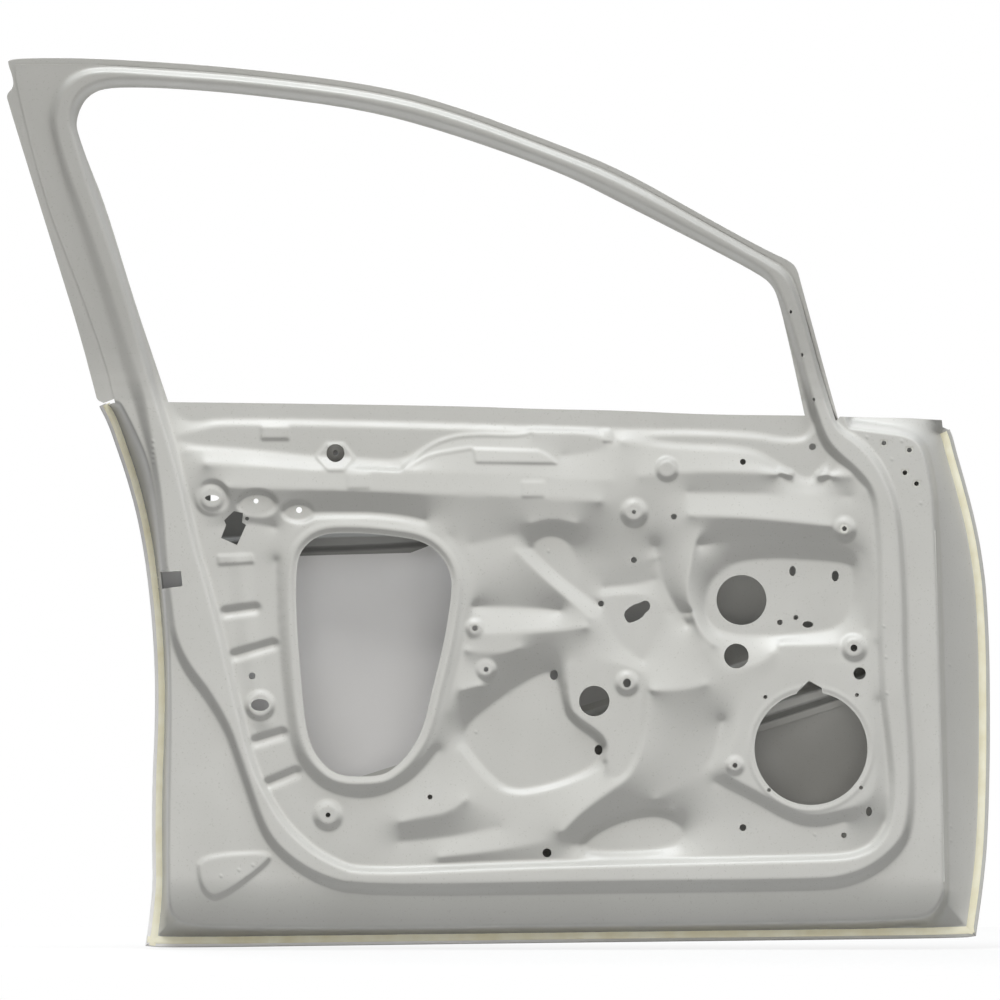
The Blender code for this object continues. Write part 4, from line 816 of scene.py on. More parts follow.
def bend_spacing(depth, tolerance):
    """How far apart points may lie for flat facets to follow the relief."""
    bend = np.zeros_like(depth)
    across = np.abs(depth[:, 2:] - 2 * depth[:, 1:-1] + depth[:, :-2])
    up = np.abs(depth[2:] - 2 * depth[1:-1] + depth[:-2])
    skew = np.abs(depth[2:, 2:] - depth[2:, :-2] - depth[:-2, 2:] + depth[:-2, :-2]) / 4
    bend[:, 1:-1] = np.maximum(bend[:, 1:-1], across)
    bend[1:-1] = np.maximum(bend[1:-1], up)
    bend[1:-1, 1:-1] = np.maximum(bend[1:-1, 1:-1], skew)
    return np.sqrt(8 * tolerance / np.maximum(bend / PITCH ** 2, 1e-9))


def block_least(field, cells):
    """Least value in each square block of cells, its neighbours' included."""
    rows, columns = -(-field.shape[0] // cells), -(-field.shape[1] // cells)
    wide = np.full((rows * cells, columns * cells), np.inf)
    wide[:field.shape[0], :field.shape[1]] = field
    blocks = wide.reshape(rows, cells, columns, cells).min(axis=(1, 3))
    around = np.pad(blocks, 1, mode="edge")
    shifts = [around[r:r + rows, c:c + columns] for r in range(3) for c in range(3)]
    return np.minimum.reduce(shifts)


def relief_points(depth, tolerance):
    """Grid points, closer together where the relief bends, with each point's own spacing."""
    spacing = bend_spacing(depth, tolerance)
    owner = np.zeros(depth.shape, dtype=int)
    parent = None
    for step in GRID_STEPS:
        grid = owner[::step, ::step]
        free = grid == 0
        if parent:
            wanted = block_least(spacing, parent) < parent * PITCH
            rows = np.arange(0, depth.shape[0], step) // parent
            columns = np.arange(0, depth.shape[1], step) // parent
            free &= wanted[np.ix_(rows, columns)]
        grid[free] = step
        parent = step
    rows, columns = np.nonzero(owner)
    return np.column_stack([GRID_X[columns], GRID_Z[rows]]), owner[rows, columns] * PITCH


def plain_points(outline, spacing):
    """Evenly spaced points over the outline's box, with their spacing."""
    low, high = outline.min(axis=0), outline.max(axis=0)
    columns, rows = np.arange(low[0], high[0], spacing), np.arange(low[1], high[1], spacing)
    grid = np.stack(np.meshgrid(columns, rows), axis=-1).reshape(-1, 2)
    return grid, np.full(len(grid), spacing)


def clear_of(points, spacings, loop):
    """Which points lie far enough from the loop for well shaped facets."""
    reach = spacings.max()
    low, high = loop.min(axis=0) - reach, loop.max(axis=0) + reach
    near = np.flatnonzero(((points > low) & (points < high)).all(axis=1))
    local = points[near]
    nearest = np.full(len(near), np.inf)
    for start, end in zip(loop, np.roll(loop, -1, axis=0)):
        run = end - start
        share = np.clip((local - start) @ run / (run @ run), 0, 1)
        nearest = np.minimum(nearest, np.linalg.norm(local - start - share[:, None] * run, axis=1))
    keep = np.ones(len(points), dtype=bool)
    keep[near] = nearest > GRID_CLEAR_SHARE * spacings[near]
    return keep


def inside_near(points, loop):
    """Which points lie inside a small loop."""
    low, high = loop.min(axis=0), loop.max(axis=0)
    near = np.flatnonzero(((points > low) & (points < high)).all(axis=1))
    mask = np.zeros(len(points), dtype=bool)
    mask[near] = is_inside(points[near], loop)
    return mask


def lay_sheet(outline, holes, points, spacings, depth_of, outboard=False):
    """One face of a sheet over the outline less its holes, facing inboard or outboard."""
    keep = is_inside(points, outline) & clear_of(points, spacings, outline)
    for hole in holes:
        keep &= ~inside_near(points, hole)
        keep &= clear_of(points, spacings, hole)
    flat, edges = [], []
    for loop in [outline] + holes:
        first, last = len(flat), len(flat) + len(loop) - 1
        flat += list(loop)
        edges += [(index, index + 1) for index in range(first, last)] + [(last, first)]
    flat += list(points[keep])
    inside_outline = 1
    result = delaunay_2d_cdt([Vector(p) for p in flat], edges, [], inside_outline, SHEET_MERGE)
    flat = np.array([tuple(v) for v in result[0]])
    triangles = np.array([tuple(face) for face in result[2] if len(face) == 3])
    centres = flat[triangles].mean(axis=1)
    wanted = is_inside(centres, outline)
    for hole in holes:
        wanted &= ~inside_near(centres, hole)
    triangles = triangles[wanted]
    if outboard:
        triangles = triangles[:, ::-1]
    mesh = bmesh.new()
    verts = [mesh.verts.new((x, y, z)) for (x, z), y in zip(flat, depth_of(flat))]
    for a, b, c in triangles:
        mesh.faces.new((verts[a], verts[b], verts[c]))
    loose = [vert for vert in mesh.verts if not vert.link_faces]
    bmesh.ops.delete(mesh, geom=loose, context="VERTS")
    return mesh


def swept_strip(mesh, path, profile, base_depth):
    """A sheet along the path through profile corners (offset to its left, rise inboard)."""
    rows = []
    for offset, rise in profile:
        line = offset_path(path, offset, closed=False)
        depth = base_depth(line) - rise
        rows.append([mesh.verts.new((x, y, z)) for (x, z), y in zip(line, depth)])
    join_rows(mesh, rows)


def join_rows(mesh, rows):
    """Faces from each row of vertices to the next."""
    for row, after in zip(rows, rows[1:]):
        for index in range(len(row) - 1):
            mesh.faces.new((row[index], row[index + 1], after[index + 1], after[index]))


def face_inboard(mesh):
    """Turns an open sheet so that its modelled face looks inboard."""
    mesh.normal_update()
    if sum(face.normal.y * face.calc_area() for face in mesh.faces) > 0:
        bmesh.ops.reverse_faces(mesh, faces=mesh.faces)


def add_piece(name, mesh, material, replaced, thickness=0.0):
    """Makes the mesh a piece of the door, thickened behind its modelled face where asked."""
    data = bpy.data.meshes.new(name)
    mesh.to_mesh(data)
    mesh.free()
    piece = bpy.data.objects.new(name, data)
    bpy.context.scene.collection.objects.link(piece)
    if thickness:
        solidify = piece.modifiers.new("Sheet thickness", "SOLIDIFY")
        solidify.thickness = thickness
        solidify.offset = -1
        solidify.use_quality_normals = True
        graph = bpy.context.evaluated_depsgraph_get()
        finished = bpy.data.meshes.new_from_object(piece.evaluated_get(graph))
        piece.modifiers.clear()
        piece.data = finished
        bpy.data.meshes.remove(data)
        finished.name = name
    piece.data.shade_smooth()
    piece.data.set_sharp_from_angle(angle=SHARP_ANGLE)
    piece.data.materials.clear()
    piece.data.materials.append(material)
    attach(piece, "root")
    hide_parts(*replaced)


# Finishes

def new_finish(name):
    """A new material with its nodes, links, shader and Object coordinates."""
    material = bpy.data.materials.new(name)
    material.use_nodes = True
    nodes, links = material.node_tree.nodes, material.node_tree.links
    shader = nodes["Principled BSDF"]
    place = nodes.new("ShaderNodeTexCoord").outputs["Object"]
    return material, nodes, links, shader, place


def noise(nodes, links, place, scale, detail=2.0, roughness=0.5):
    """Uneven value over the surface."""
    node = nodes.new("ShaderNodeTexNoise")
    node.inputs["Scale"].default_value = scale
    node.inputs["Detail"].default_value = detail
    node.inputs["Roughness"].default_value = roughness
    links.new(place, node.inputs["Vector"])
    return node.outputs["Fac"]


def spread(nodes, links, value, low, high, to_low=0.0, to_high=1.0):
    """The value carried from one range to another, and held to it."""
    node = nodes.new("ShaderNodeMapRange")
    for name, setting in (("From Min", low), ("From Max", high), ("To Min", to_low), ("To Max", to_high)):
        node.inputs[name].default_value = setting
    links.new(value, node.inputs["Value"])
    return node.outputs["Result"]


def blend_colours(nodes, links, share, first, second):
    """Colour between two, each a plain colour or a socket."""
    node = nodes.new("ShaderNodeMix")
    node.data_type = "RGBA"
    links.new(share, node.inputs["Factor"])
    for socket, colour in (("A", first), ("B", second)):
        target = [entry for entry in node.inputs if entry.name == socket and entry.type == "RGBA"][0]
        if isinstance(colour, bpy.types.NodeSocket):
            links.new(colour, target)
        else:
            target.default_value = (*colour, 1)
    return [entry for entry in node.outputs if entry.type == "RGBA"][0]


def add_bump(nodes, links, shader, layers):
    """Bumps laid over one another: (height, strength, distance)."""
    normal = None
    for height, strength, distance in layers:
        node = nodes.new("ShaderNodeBump")
        node.inputs["Strength"].default_value = strength
        node.inputs["Distance"].default_value = distance
        links.new(height, node.inputs["Height"])
        if normal:
            links.new(normal, node.inputs["Normal"])
        normal = node.outputs["Normal"]
    links.new(normal, shader.inputs["Normal"])


def way_it_faces(nodes, links):
    """The parts of the direction in which the surface itself faces."""
    split = nodes.new("ShaderNodeSeparateXYZ")
    links.new(nodes.new("ShaderNodeTexCoord").outputs["Normal"], split.inputs["Vector"])
    return split.outputs


def product(nodes, links, first, second):
    """The two values multiplied."""
    times = nodes.new("ShaderNodeMath")
    times.operation = "MULTIPLY"
    links.new(first, times.inputs[0])
    links.new(second, times.inputs[1])
    return times.outputs["Value"]


def painted_light_rearward(nodes, links, place, colour, rear_painted_light_colour):
    """Painted light: the colour of the inner face pales toward the door's rear, standing in for light that
    falls in through the openings.
    """
    split = nodes.new("ShaderNodeSeparateXYZ")
    links.new(place, split.inputs["Vector"])
    rearward = spread(nodes, links, split.outputs["X"], -0.35, -0.62)
    inner_face = spread(nodes, links, way_it_faces(nodes, links)["Y"], 0.2, -0.2)
    share = product(nodes, links, rearward, inner_face)
    return blend_colours(nodes, links, share, colour, rear_painted_light_colour)


def painted_facing_shade(nodes, links, place, colour):
    """Painted shade and light: the colour is darkened on faces that look down and lightened on faces that
    look up, as a top light would shade them, and the window frame is darkened a little all over.
    """
    facing = way_it_faces(nodes, links)
    down_facing_painted_shade = spread(nodes, links, facing["Z"], -0.22, 0.0, 0.62, 1.0)
    up_facing_painted_light = spread(nodes, links, facing["Z"], 0.0, 0.20, 1.0, 1.18)
    height = nodes.new("ShaderNodeSeparateXYZ")
    links.new(place, height.inputs["Vector"])
    # Over the belt, on the window frame, a flat painted shade of 0.96 takes the place of the shade by facing
    door = spread(nodes, links, height.outputs["Z"], 0.60, 0.56)
    painted_shade_and_light_factor = nodes.new("ShaderNodeMix")
    links.new(door, painted_shade_and_light_factor.inputs["Factor"])
    painted_shade_and_light_factor.inputs["A"].default_value = 0.96
    links.new(product(nodes, links, down_facing_painted_shade, up_facing_painted_light), painted_shade_and_light_factor.inputs["B"])
    scaled = nodes.new("ShaderNodeVectorMath")
    scaled.operation = "SCALE"
    links.new(colour, scaled.inputs[0])
    links.new(painted_shade_and_light_factor.outputs["Result"], scaled.inputs["Scale"])
    return scaled.outputs["Vector"]


def primer_finish(name, colour, deep, roughness=0.38, rear_painted_light_colour=None):
    """Satin dip primer: slight runs, a fine orange peel, dust in the dull patches; painted shade on faces
    that look down, painted light on faces that look up, and painted light toward the rear where a rear colour
    is given.
    """
    material, nodes, links, shader, place = new_finish(name)
    colour, deep = np.array(colour), np.array(deep)
    pools = spread(nodes, links, noise(nodes, links, place, 5.0, 3.0), 0.36, 0.70)
    specks = spread(nodes, links, noise(nodes, links, place, 420.0, 1.0), 0.66, 0.74)
    tone = blend_colours(nodes, links, pools, colour, mix(colour, deep, 0.30))
    dusty = blend_colours(nodes, links, specks, tone, mix(colour, deep, 0.8))
    # Painted light on the skin's inner face toward the door's rear
    if rear_painted_light_colour is not None:
        dusty = painted_light_rearward(nodes, links, place, dusty, rear_painted_light_colour)
    # The base colour carries painted shade on faces that look down and painted light on faces that look up
    links.new(painted_facing_shade(nodes, links, place, dusty), shader.inputs["Base Color"])
    patches = noise(nodes, links, place, 22.0, 4.0)
    gloss = spread(nodes, links, patches, 0.3, 0.7, roughness - 0.05, roughness + 0.07)
    links.new(gloss, shader.inputs["Roughness"])
    shader.inputs["Specular IOR Level"].default_value = 0.65
    peel = noise(nodes, links, place, 260.0, 2.0)
    runs = noise(nodes, links, place, 30.0, 2.0)
    add_bump(nodes, links, shader, [(peel, 0.06, 0.0006), (runs, 0.05, 0.003)])
    return material


def sealant_finish(name, colour):
    """Cream seam sealer, brushed on, a little uneven and yellowed."""
    material, nodes, links, shader, place = new_finish(name)
    patches = spread(nodes, links, noise(nodes, links, place, 35.0, 4.0), 0.35, 0.7)
    darker = np.array(colour) * np.array([0.90, 0.87, 0.78])
    links.new(blend_colours(nodes, links, patches, colour, darker), shader.inputs["Base Color"])
    shader.inputs["Roughness"].default_value = 0.48
    strokes = noise(nodes, links, place, 150.0, 4.0, 0.6)
    lumps = noise(nodes, links, place, 45.0, 2.0)
    add_bump(nodes, links, shader, [(strokes, 0.35, 0.0006), (lumps, 0.30, 0.0015)])
    return material


def mastic_finish(name, colour):
    """Dull black mastic with a rough skin."""
    material, nodes, links, shader, place = new_finish(name)
    patches = noise(nodes, links, place, 90.0, 3.0)
    lighter = np.array(colour) + 0.03
    links.new(blend_colours(nodes, links, patches, colour, lighter), shader.inputs["Base Color"])
    shader.inputs["Roughness"].default_value = 0.75
    add_bump(nodes, links, shader, [(patches, 0.4, 0.001)])
    return material


def plated_finish(name):
    """Zinc-plated steel under a fine coat of primer, for the nuts."""
    material, nodes, links, shader, place = new_finish(name)
    patches = noise(nodes, links, place, 120.0, 3.0)
    colour = blend_colours(nodes, links, patches, (0.42, 0.42, 0.39), (0.50, 0.50, 0.47))
    links.new(colour, shader.inputs["Base Color"])
    shader.inputs["Metallic"].default_value = 0.35
    shader.inputs["Roughness"].default_value = 0.38
    add_bump(nodes, links, shader, [(noise(nodes, links, place, 600.0), 0.08, 0.0003)])
    return material


FINISHES = {}
# Share of the primer's colour that the pieces inside the door keep: a painted shade for the shade they lie in
PAINTED_SHADE_SHARE = 0.92


def finish_for(kind):
    """The material of that kind, made when it is first asked for."""
    if kind not in FINISHES:
        look = colours()
        primer, deep, plate = tuple(look.primer), tuple(look.primer_deep), tuple(look.plate)
        # The primer darkened by that share is painted shade for the pieces inside the door
        painted_shade_primer = tuple(np.array(primer) * PAINTED_SHADE_SHARE)
        makers = {
            "primer": lambda: primer_finish("dip_primer", primer, deep),
            "primer_shade": lambda: primer_finish("dip_primer_painted_shade", painted_shade_primer, deep, 0.46),
            "primer_skin": lambda: primer_finish("dip_primer_skin", painted_shade_primer, deep, 0.5, tuple(look.skin_rear_painted_light)),
            # Painted shade: the handle plate's dark colour stands for the shade it lies in
            "primer_painted_deep_shade": lambda: primer_finish("dip_primer_painted_deep_shade", plate, plate, 0.5),
            "sealant": lambda: sealant_finish("seam_sealant", tuple(look.sealant)),
            "mastic": lambda: mastic_finish("damping_mastic", tuple(look.mastic)),
            "plated": lambda: plated_finish("plated_nut"),
        }
        FINISHES[kind] = makers[kind]()
    return FINISHES[kind]


# Outlines of the sheets

def panel_outline():
    """Edge of the inner pressing, just inside the hem's fold."""
    hem = offset_path(HEM_EDGE, PANEL_EDGE_INSET, closed=False)
    loop = np.vstack([drawn(FRAME_JOINT_P, closed=False), trace(FRONT_BELT_P), hem[::-1]])
    return resample(tidy(loop, True), EDGE_STEP)


def keyhole(centre_p, radius_p, notch_p):
    """A round cut-out with a notch at its top."""
    ring = ellipse(centre_p, 2 * radius_p, 2 * radius_p, 96)
    left, apex, right = trace(notch_p)
    centre = np.array(at(centre_p))
    angles = np.arctan2(ring[:, 1] - centre[1], ring[:, 0] - centre[0])
    first = math.atan2(right[1] - centre[1], right[0] - centre[0])
    last = math.atan2(left[1] - centre[1], left[0] - centre[0])
    rest = ring[(angles < first) | (angles > last)]
    order = np.argsort((np.arctan2(rest[:, 1] - centre[1], rest[:, 0] - centre[0]) - last) % math.tau)
    return np.vstack([right[None], apex[None], left[None], rest[order]])


def panel_holes():
    """Every opening of the inner pressing."""
    holes = [resample(WINDOW, EDGE_STEP), resample(drawn(ACCESS_P), EDGE_STEP)]
    holes.append(keyhole(SPEAKER_P, SPEAKER_RADIUS_P, SPEAKER_NOTCH_P))
    holes += [resample(trace(path), EDGE_STEP) for path in (LATCH_OPENING_P, LOCK_OPENING_P)]
    holes.append(resample(drawn(PULL_OPENING_P, rounds=1), EDGE_STEP))
    for pixel, width in ROUND_HOLES:
        holes.append(ellipse(pixel, width, width, 48 if width > 15 else 20))
    for pixel, width, height in OVAL_HOLES:
        holes.append(ellipse(pixel, width, height, 24))
    holes += [rectangle(at(pixel), (CAGE_WINDOW, CAGE_WINDOW)) for pixel in MIRROR_WINDOWS_P]
    return holes


def rounded_rectangle(centre, size, radius):
    """A rectangle whose corners are rounded to the radius."""
    loop = []
    for index, corner in enumerate(rectangle(centre, size)):
        inner = corner + np.array([(1, 1), (-1, 1), (-1, -1), (1, -1)][index]) * radius
        turns = math.pi / 2 / (HANDLE_CORNER_POINTS - 1) * np.arange(HANDLE_CORNER_POINTS)
        angles = math.radians(180 + 90 * index) + turns
        loop.append(inner + radius * np.column_stack([np.cos(angles), np.sin(angles)]))
    return np.vstack(loop)


def handle_holes():
    """The outer handle's two openings."""
    openings = ((HANDLE_HOLE_P, HANDLE_HOLE), (HANDLE_PIVOT_P, HANDLE_PIVOT))
    return [rounded_rectangle(at(pixel), size, HANDLE_CORNER) for pixel, size in openings]


# Pieces

def make_inner_panel():
    """One face of the inner pressing, over its whole relief."""
    depth = press_inner_panel(sizes().press_radius)
    points, spacings = relief_points(depth, sizes().relief_tolerance)
    return lay_sheet(panel_outline(), panel_holes(), points, spacings, lambda flat: sample(depth, flat))


def make_outer_skin():
    """The skin, with its edge folded inboard and back over the inner pressing."""
    stack = SHEET + 2 * HEM_PITCH
    radius = HEM_PITCH
    edge = resample(HEM_EDGE, EDGE_STEP * 2, closed=False)
    rim = offset_path(edge, radius, closed=False)
    belt = resample(trace(SKIN_BELT_P), EDGE_STEP * 2, closed=False)
    outline = np.vstack([rim, belt])
    points, spacings = plain_points(outline, sizes().grid)
    mesh = lay_sheet(outline, handle_holes(), points, spacings, skin_depth, outboard=True)
    turns = np.linspace(0, math.pi, 9)
    profile = [(radius - radius * math.sin(turn), stack / 2 * (1 - math.cos(turn))) for turn in turns]
    profile += [(HEM_WIDTH / 2, stack), (HEM_WIDTH, stack)]
    swept_strip(mesh, edge, profile, skin_depth)
    bmesh.ops.remove_doubles(mesh, verts=mesh.verts, dist=HEM_MERGE)
    return mesh


def wave(distances, seed, lengths):
    """Smooth uneven values between -1 and 1 along the distances."""
    turns = enumerate(lengths)
    waves = [np.sin(distances / length * math.tau + seed * (3.1 + turn)) for turn, length in turns]
    return sum(waves) / len(lengths)


def make_hem_sealant():
    """Bead brushed over the cut edge of the skin's hem, down onto the inner pressing."""
    start, finish = HEM_WIDTH - SEALANT_ON_HEM, HEM_WIDTH + SEALANT_ON_PANEL
    on_return = SHEET + 2 * HEM_PITCH + SEAT_GAP
    on_panel = SHEET + HEM_PITCH + SEAT_GAP
    step = HEM_WIDTH + SEAT_GAP
    path = resample(HEM_EDGE, EDGE_STEP, closed=False)
    along = np.concatenate([[0], np.cumsum(np.linalg.norm(np.diff(path, axis=0), axis=1))])
    wide = wave(along, 1.0, (0.031, 0.067, 0.0143)) * SEALANT_WAVER
    narrow = wave(along, 2.0, (0.027, 0.059, 0.0121)) * SEALANT_WAVER
    crown = SEALANT_CROWN + wave(along, 3.0, (0.019, 0.083, 0.0097)) * SEALANT_CROWN_WAVER
    rings = [(start, on_return), (step, on_return), (step, on_panel), (finish, on_panel)]
    for share in np.linspace(0, 1, SEALANT_SIDES)[1:-1]:
        offset = mix(finish + wide, start - narrow, share)
        height = crown + BRUSH_MARK * math.sin(share * BRUSH_MARKS)
        round_share = math.sin(math.pi * share) ** SEALANT_ROUNDNESS
        rings.append((offset, mix(on_panel, on_return, share) + height * round_share))
    mesh = bmesh.new()
    left = offset_path(path, 1.0, closed=False) - path
    rows = []
    for offset, rise in rings:
        line = path + left * np.reshape(offset, (-1, 1))
        depth = skin_depth(line) - rise
        rows.append([mesh.verts.new((x, y, z)) for (x, z), y in list(zip(line, depth))[1:-1]])
    join_rows(mesh, rows + rows[:1])
    for end in (0, -1):
        mesh.faces.new([row[end] for row in rows])
    bmesh.ops.recalc_face_normals(mesh, faces=mesh.faces)
    return mesh


def make_window_frame_outer():
    """One face of the window frame's outer half."""
    depth = press_frame_rail(sizes().press_radius)
    points, spacings = relief_points(depth, sizes().relief_tolerance * 3)
    frame_edge = drawn(FRAME_EDGE_P, closed=False)
    opening = drawn(WINDOW_P[:WINDOW_P.index(WINDOW_FRONT_CORNER) + 1], closed=False)[::-1]
    loop = np.vstack([frame_edge, trace(RAIL_FRONT_TAB_P), opening, trace(RAIL_REAR_TAB_P)])
    outline = resample(tidy(loop, True), EDGE_STEP)
    return lay_sheet(outline, [], points, spacings, lambda flat: sample(depth, flat))


def roll_belt_rail(path_p, turn, base_depth):
    """A rail along the belt, its channel turned inboard (1) or outboard (-1)."""
    corners = np.array([
        (0, 0), (RAIL_FLANGE, 0), (RAIL_FLANGE + RAIL_WALL, turn * RAIL_DEPTH),
        (RAIL_HEIGHT, turn * RAIL_DEPTH),
    ])
    profile = smooth(resample(corners, RAIL_PROFILE_STEP, closed=False), closed=False)
    path = resample(drawn(path_p, closed=False), RAIL_STEP, closed=False)
    mesh = bmesh.new()
    swept_strip(mesh, path, profile, base_depth)
    face_inboard(mesh)
    return mesh


def make_belt_rail_outer():
    """Rail that lies on the skin's inner face."""
    side = SHEET + SEAT_GAP + PLATE
    return roll_belt_rail(BELT_RAIL_OUTER_P, 1, lambda points: skin_depth(points) - side)


def make_belt_rail_inner():
    """Rail that lies behind the inner pressing's belt flange."""
    side = RIM_Y + WINDOW_WALL_DEPTH + SHEET + SEAT_GAP
    return roll_belt_rail(BELT_RAIL_INNER_P, -1, lambda points: np.full(len(points), side))


def make_handle_reinforcement():
    """Plate behind the skin round the outer handle, with a stiffening bead along its foot."""
    outline = resample(drawn(HANDLE_PLATE_P, rounds=1), EDGE_STEP * 2)
    grid = np.stack(np.meshgrid(GRID_X, GRID_Z), axis=-1)
    depth = skin_depth(grid) - SHEET - SEAT_GAP - PLATE
    raise_pad(depth, drawn(HANDLE_BEAD_P), HANDLE_BEAD_DEPTH, HANDLE_BEAD_WALL)
    points, spacings = relief_points(depth, sizes().relief_tolerance)
    return lay_sheet(outline, handle_holes(), points, spacings, lambda flat: sample(depth, flat))


def make_impact_beam():
    """Pressed beam of two hat sections, corner to corner behind the skin."""
    inner_flange = BEAM_HALF_WIDTH - BEAM_FLANGE
    corners = [
        (BEAM_HALF_WIDTH, 0), (inner_flange, 0), (inner_flange - BEAM_WALL, BEAM_HEIGHT),
        (BEAM_VALLEY + BEAM_WALL, BEAM_HEIGHT), (BEAM_VALLEY, 0),
    ]
    profile = np.array(corners + [(-offset, rise) for offset, rise in corners[::-1]])
    profile = smooth(resample(profile, BEAM_PROFILE_STEP, closed=False), closed=False)
    path = resample(trace([BEAM_FRONT_P, BEAM_REAR_P]), BEAM_STEP, closed=False)
    side = SHEET + BEAM_GAP + BEAM_PLATE
    mesh = bmesh.new()
    swept_strip(mesh, path, profile, lambda points: skin_depth(points) - side)
    face_inboard(mesh)
    return mesh


# Operators

class BuildPiece:
    """What the pieces' operators share."""
    bl_options = {"REGISTER"}
    piece = ""
    finish = "primer"
    slot = ""
    thickness = 0.0

    def execute(self, context):
        material = finish_for(self.finish)
        add_piece(f"{self.piece}_pressed", self.shape(), material, [self.piece], self.thickness)
        return {"FINISHED"}


class DOORSHELL_OT_inner_panel(BuildPiece, bpy.types.Operator):
    """Presses the inner panel with its window frame, recesses, bosses and holes"""
    bl_idname = "door_shell.inner_panel"
    bl_label = "Inner panel"
    piece = "inner_panel"
    thickness = SHEET
    shape = staticmethod(make_inner_panel)


class DOORSHELL_OT_outer_skin(BuildPiece, bpy.types.Operator):
    """Shapes the outer skin and folds its hem"""
    bl_idname = "door_shell.outer_skin"
    bl_label = "Outer skin"
    piece = "outer_skin"
    finish = "primer_skin"
    thickness = SHEET
    shape = staticmethod(make_outer_skin)


class DOORSHELL_OT_hem_sealant(BuildPiece, bpy.types.Operator):
    """Lays the brushed sealant bead on the hem"""
    bl_idname = "door_shell.hem_sealant"
    bl_label = "Hem sealant"
    piece = "hem_sealant"
    finish = "sealant"
    slot = "sealant"
    shape = staticmethod(make_hem_sealant)


class DOORSHELL_OT_window_frame_outer(BuildPiece, bpy.types.Operator):
    """Presses the outer half of the window frame"""
    bl_idname = "door_shell.window_frame_outer"
    bl_label = "Window frame, outer half"
    piece = "window_frame_outer"
    thickness = SHEET
    shape = staticmethod(make_window_frame_outer)


class DOORSHELL_OT_belt_rail_outer(BuildPiece, bpy.types.Operator):
    """Rolls the belt rail behind the skin"""
    bl_idname = "door_shell.belt_rail_outer"
    bl_label = "Belt rail, outer"
    piece = "belt_rail_outer"
    finish = "primer_shade"
    thickness = PLATE
    shape = staticmethod(make_belt_rail_outer)


class DOORSHELL_OT_belt_rail_inner(BuildPiece, bpy.types.Operator):
    """Rolls the belt rail behind the inner panel"""
    bl_idname = "door_shell.belt_rail_inner"
    bl_label = "Belt rail, inner"
    piece = "belt_rail_inner"
    finish = "primer_shade"
    thickness = PLATE
    shape = staticmethod(make_belt_rail_inner)


class DOORSHELL_OT_handle_reinforcement(BuildPiece, bpy.types.Operator):
    """Presses the plate behind the outer handle"""
    bl_idname = "door_shell.handle_reinforcement"
    bl_label = "Handle reinforcement"
    piece = "handle_reinforcement"
    # Painted shade: the plate is coloured dark for the shade it lies in
    finish = "primer_painted_deep_shade"
    thickness = PLATE
    shape = staticmethod(make_handle_reinforcement)


class DOORSHELL_OT_impact_beam(BuildPiece, bpy.types.Operator):
    """Presses the side impact beam"""
    bl_idname = "door_shell.impact_beam"
    bl_label = "Impact beam"
    piece = "impact_beam"
    finish = "primer_shade"
    thickness = BEAM_PLATE
    shape = staticmethod(make_impact_beam)


class DOORSHELL_OT_carried_pieces(bpy.types.Operator):
    """Finishes the brackets, reinforcements, nuts and pads that keep the frame's shape"""
    bl_idname = "door_shell.carried_pieces"
    bl_label = "Brackets, nuts and pads"
    bl_options = {"REGISTER"}

    def execute(self, context):
        for name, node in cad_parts.items():
            # Brackets, reinforcements and pads inside the door take the primer with painted shade
            kind = "primer_shade"
            if "nut" in name:
                kind = "plated"
            elif "mastic" in name:
                kind = "mastic"
            elif "sealant" in name:
                kind = "sealant"
            node.data.materials.clear()
            node.data.materials.append(finish_for(kind))
        return {"FINISHED"}


# Studio

def add_lamp(name, place, target, size, power, colour):
    """A soft rectangular lamp that looks at the target."""
    lamp = bpy.data.lights.new(name, "AREA")
    lamp.shape = "RECTANGLE"
    lamp.size, lamp.size_y = size
    lamp.energy = power
    lamp.color = colour
    holder = bpy.data.objects.new(name, lamp)
    bpy.context.scene.collection.objects.link(holder)
    holder.location = place
    direction = Vector(target) - Vector(place)
    holder.rotation_euler = direction.to_track_quat("-Z", "Y").to_euler()


def seen_directly(nodes, links):
    """1 where a camera, a reflection or a glass looks, and 0 for the light it sheds."""
    rays = nodes.new("ShaderNodeLightPath")
    value = rays.outputs["Is Camera Ray"]
    for name in ("Is Glossy Ray", "Is Transmission Ray"):
        either = nodes.new("ShaderNodeMath")
        either.operation = "MAXIMUM"
        links.new(value, either.inputs[0])
        links.new(rays.outputs[name], either.inputs[1])
        value = either.outputs["Value"]
    return value


def mix_shaders(nodes, links, share, plain, seen, surface):
    """The plain shader for light that is shed, and the other where the door is looked past."""
    mixer = nodes.new("ShaderNodeMixShader")
    links.new(share, mixer.inputs["Fac"])
    links.new(plain, mixer.inputs[1])
    links.new(seen, mixer.inputs[2])
    links.new(mixer.outputs["Shader"], surface)


def light_world():
    """A white backdrop that sheds only a little light."""
    world = bpy.data.worlds.new("studio")
    world.use_nodes = True
    nodes, links = world.node_tree.nodes, world.node_tree.links
    nodes.clear()
    lit = nodes.new("ShaderNodeBackground")
    lit.inputs["Color"].default_value = WORLD_COLOUR
    lit.inputs["Strength"].default_value = WORLD_STRENGTH
    seen = nodes.new("ShaderNodeBackground")
    seen.inputs["Color"].default_value = (1, 1, 1, 1)
    output = nodes.new("ShaderNodeOutputWorld")
    mix_shaders(nodes, links, seen_directly(nodes, links), lit.outputs["Background"],
                seen.outputs["Background"], output.inputs["Surface"])
    return world


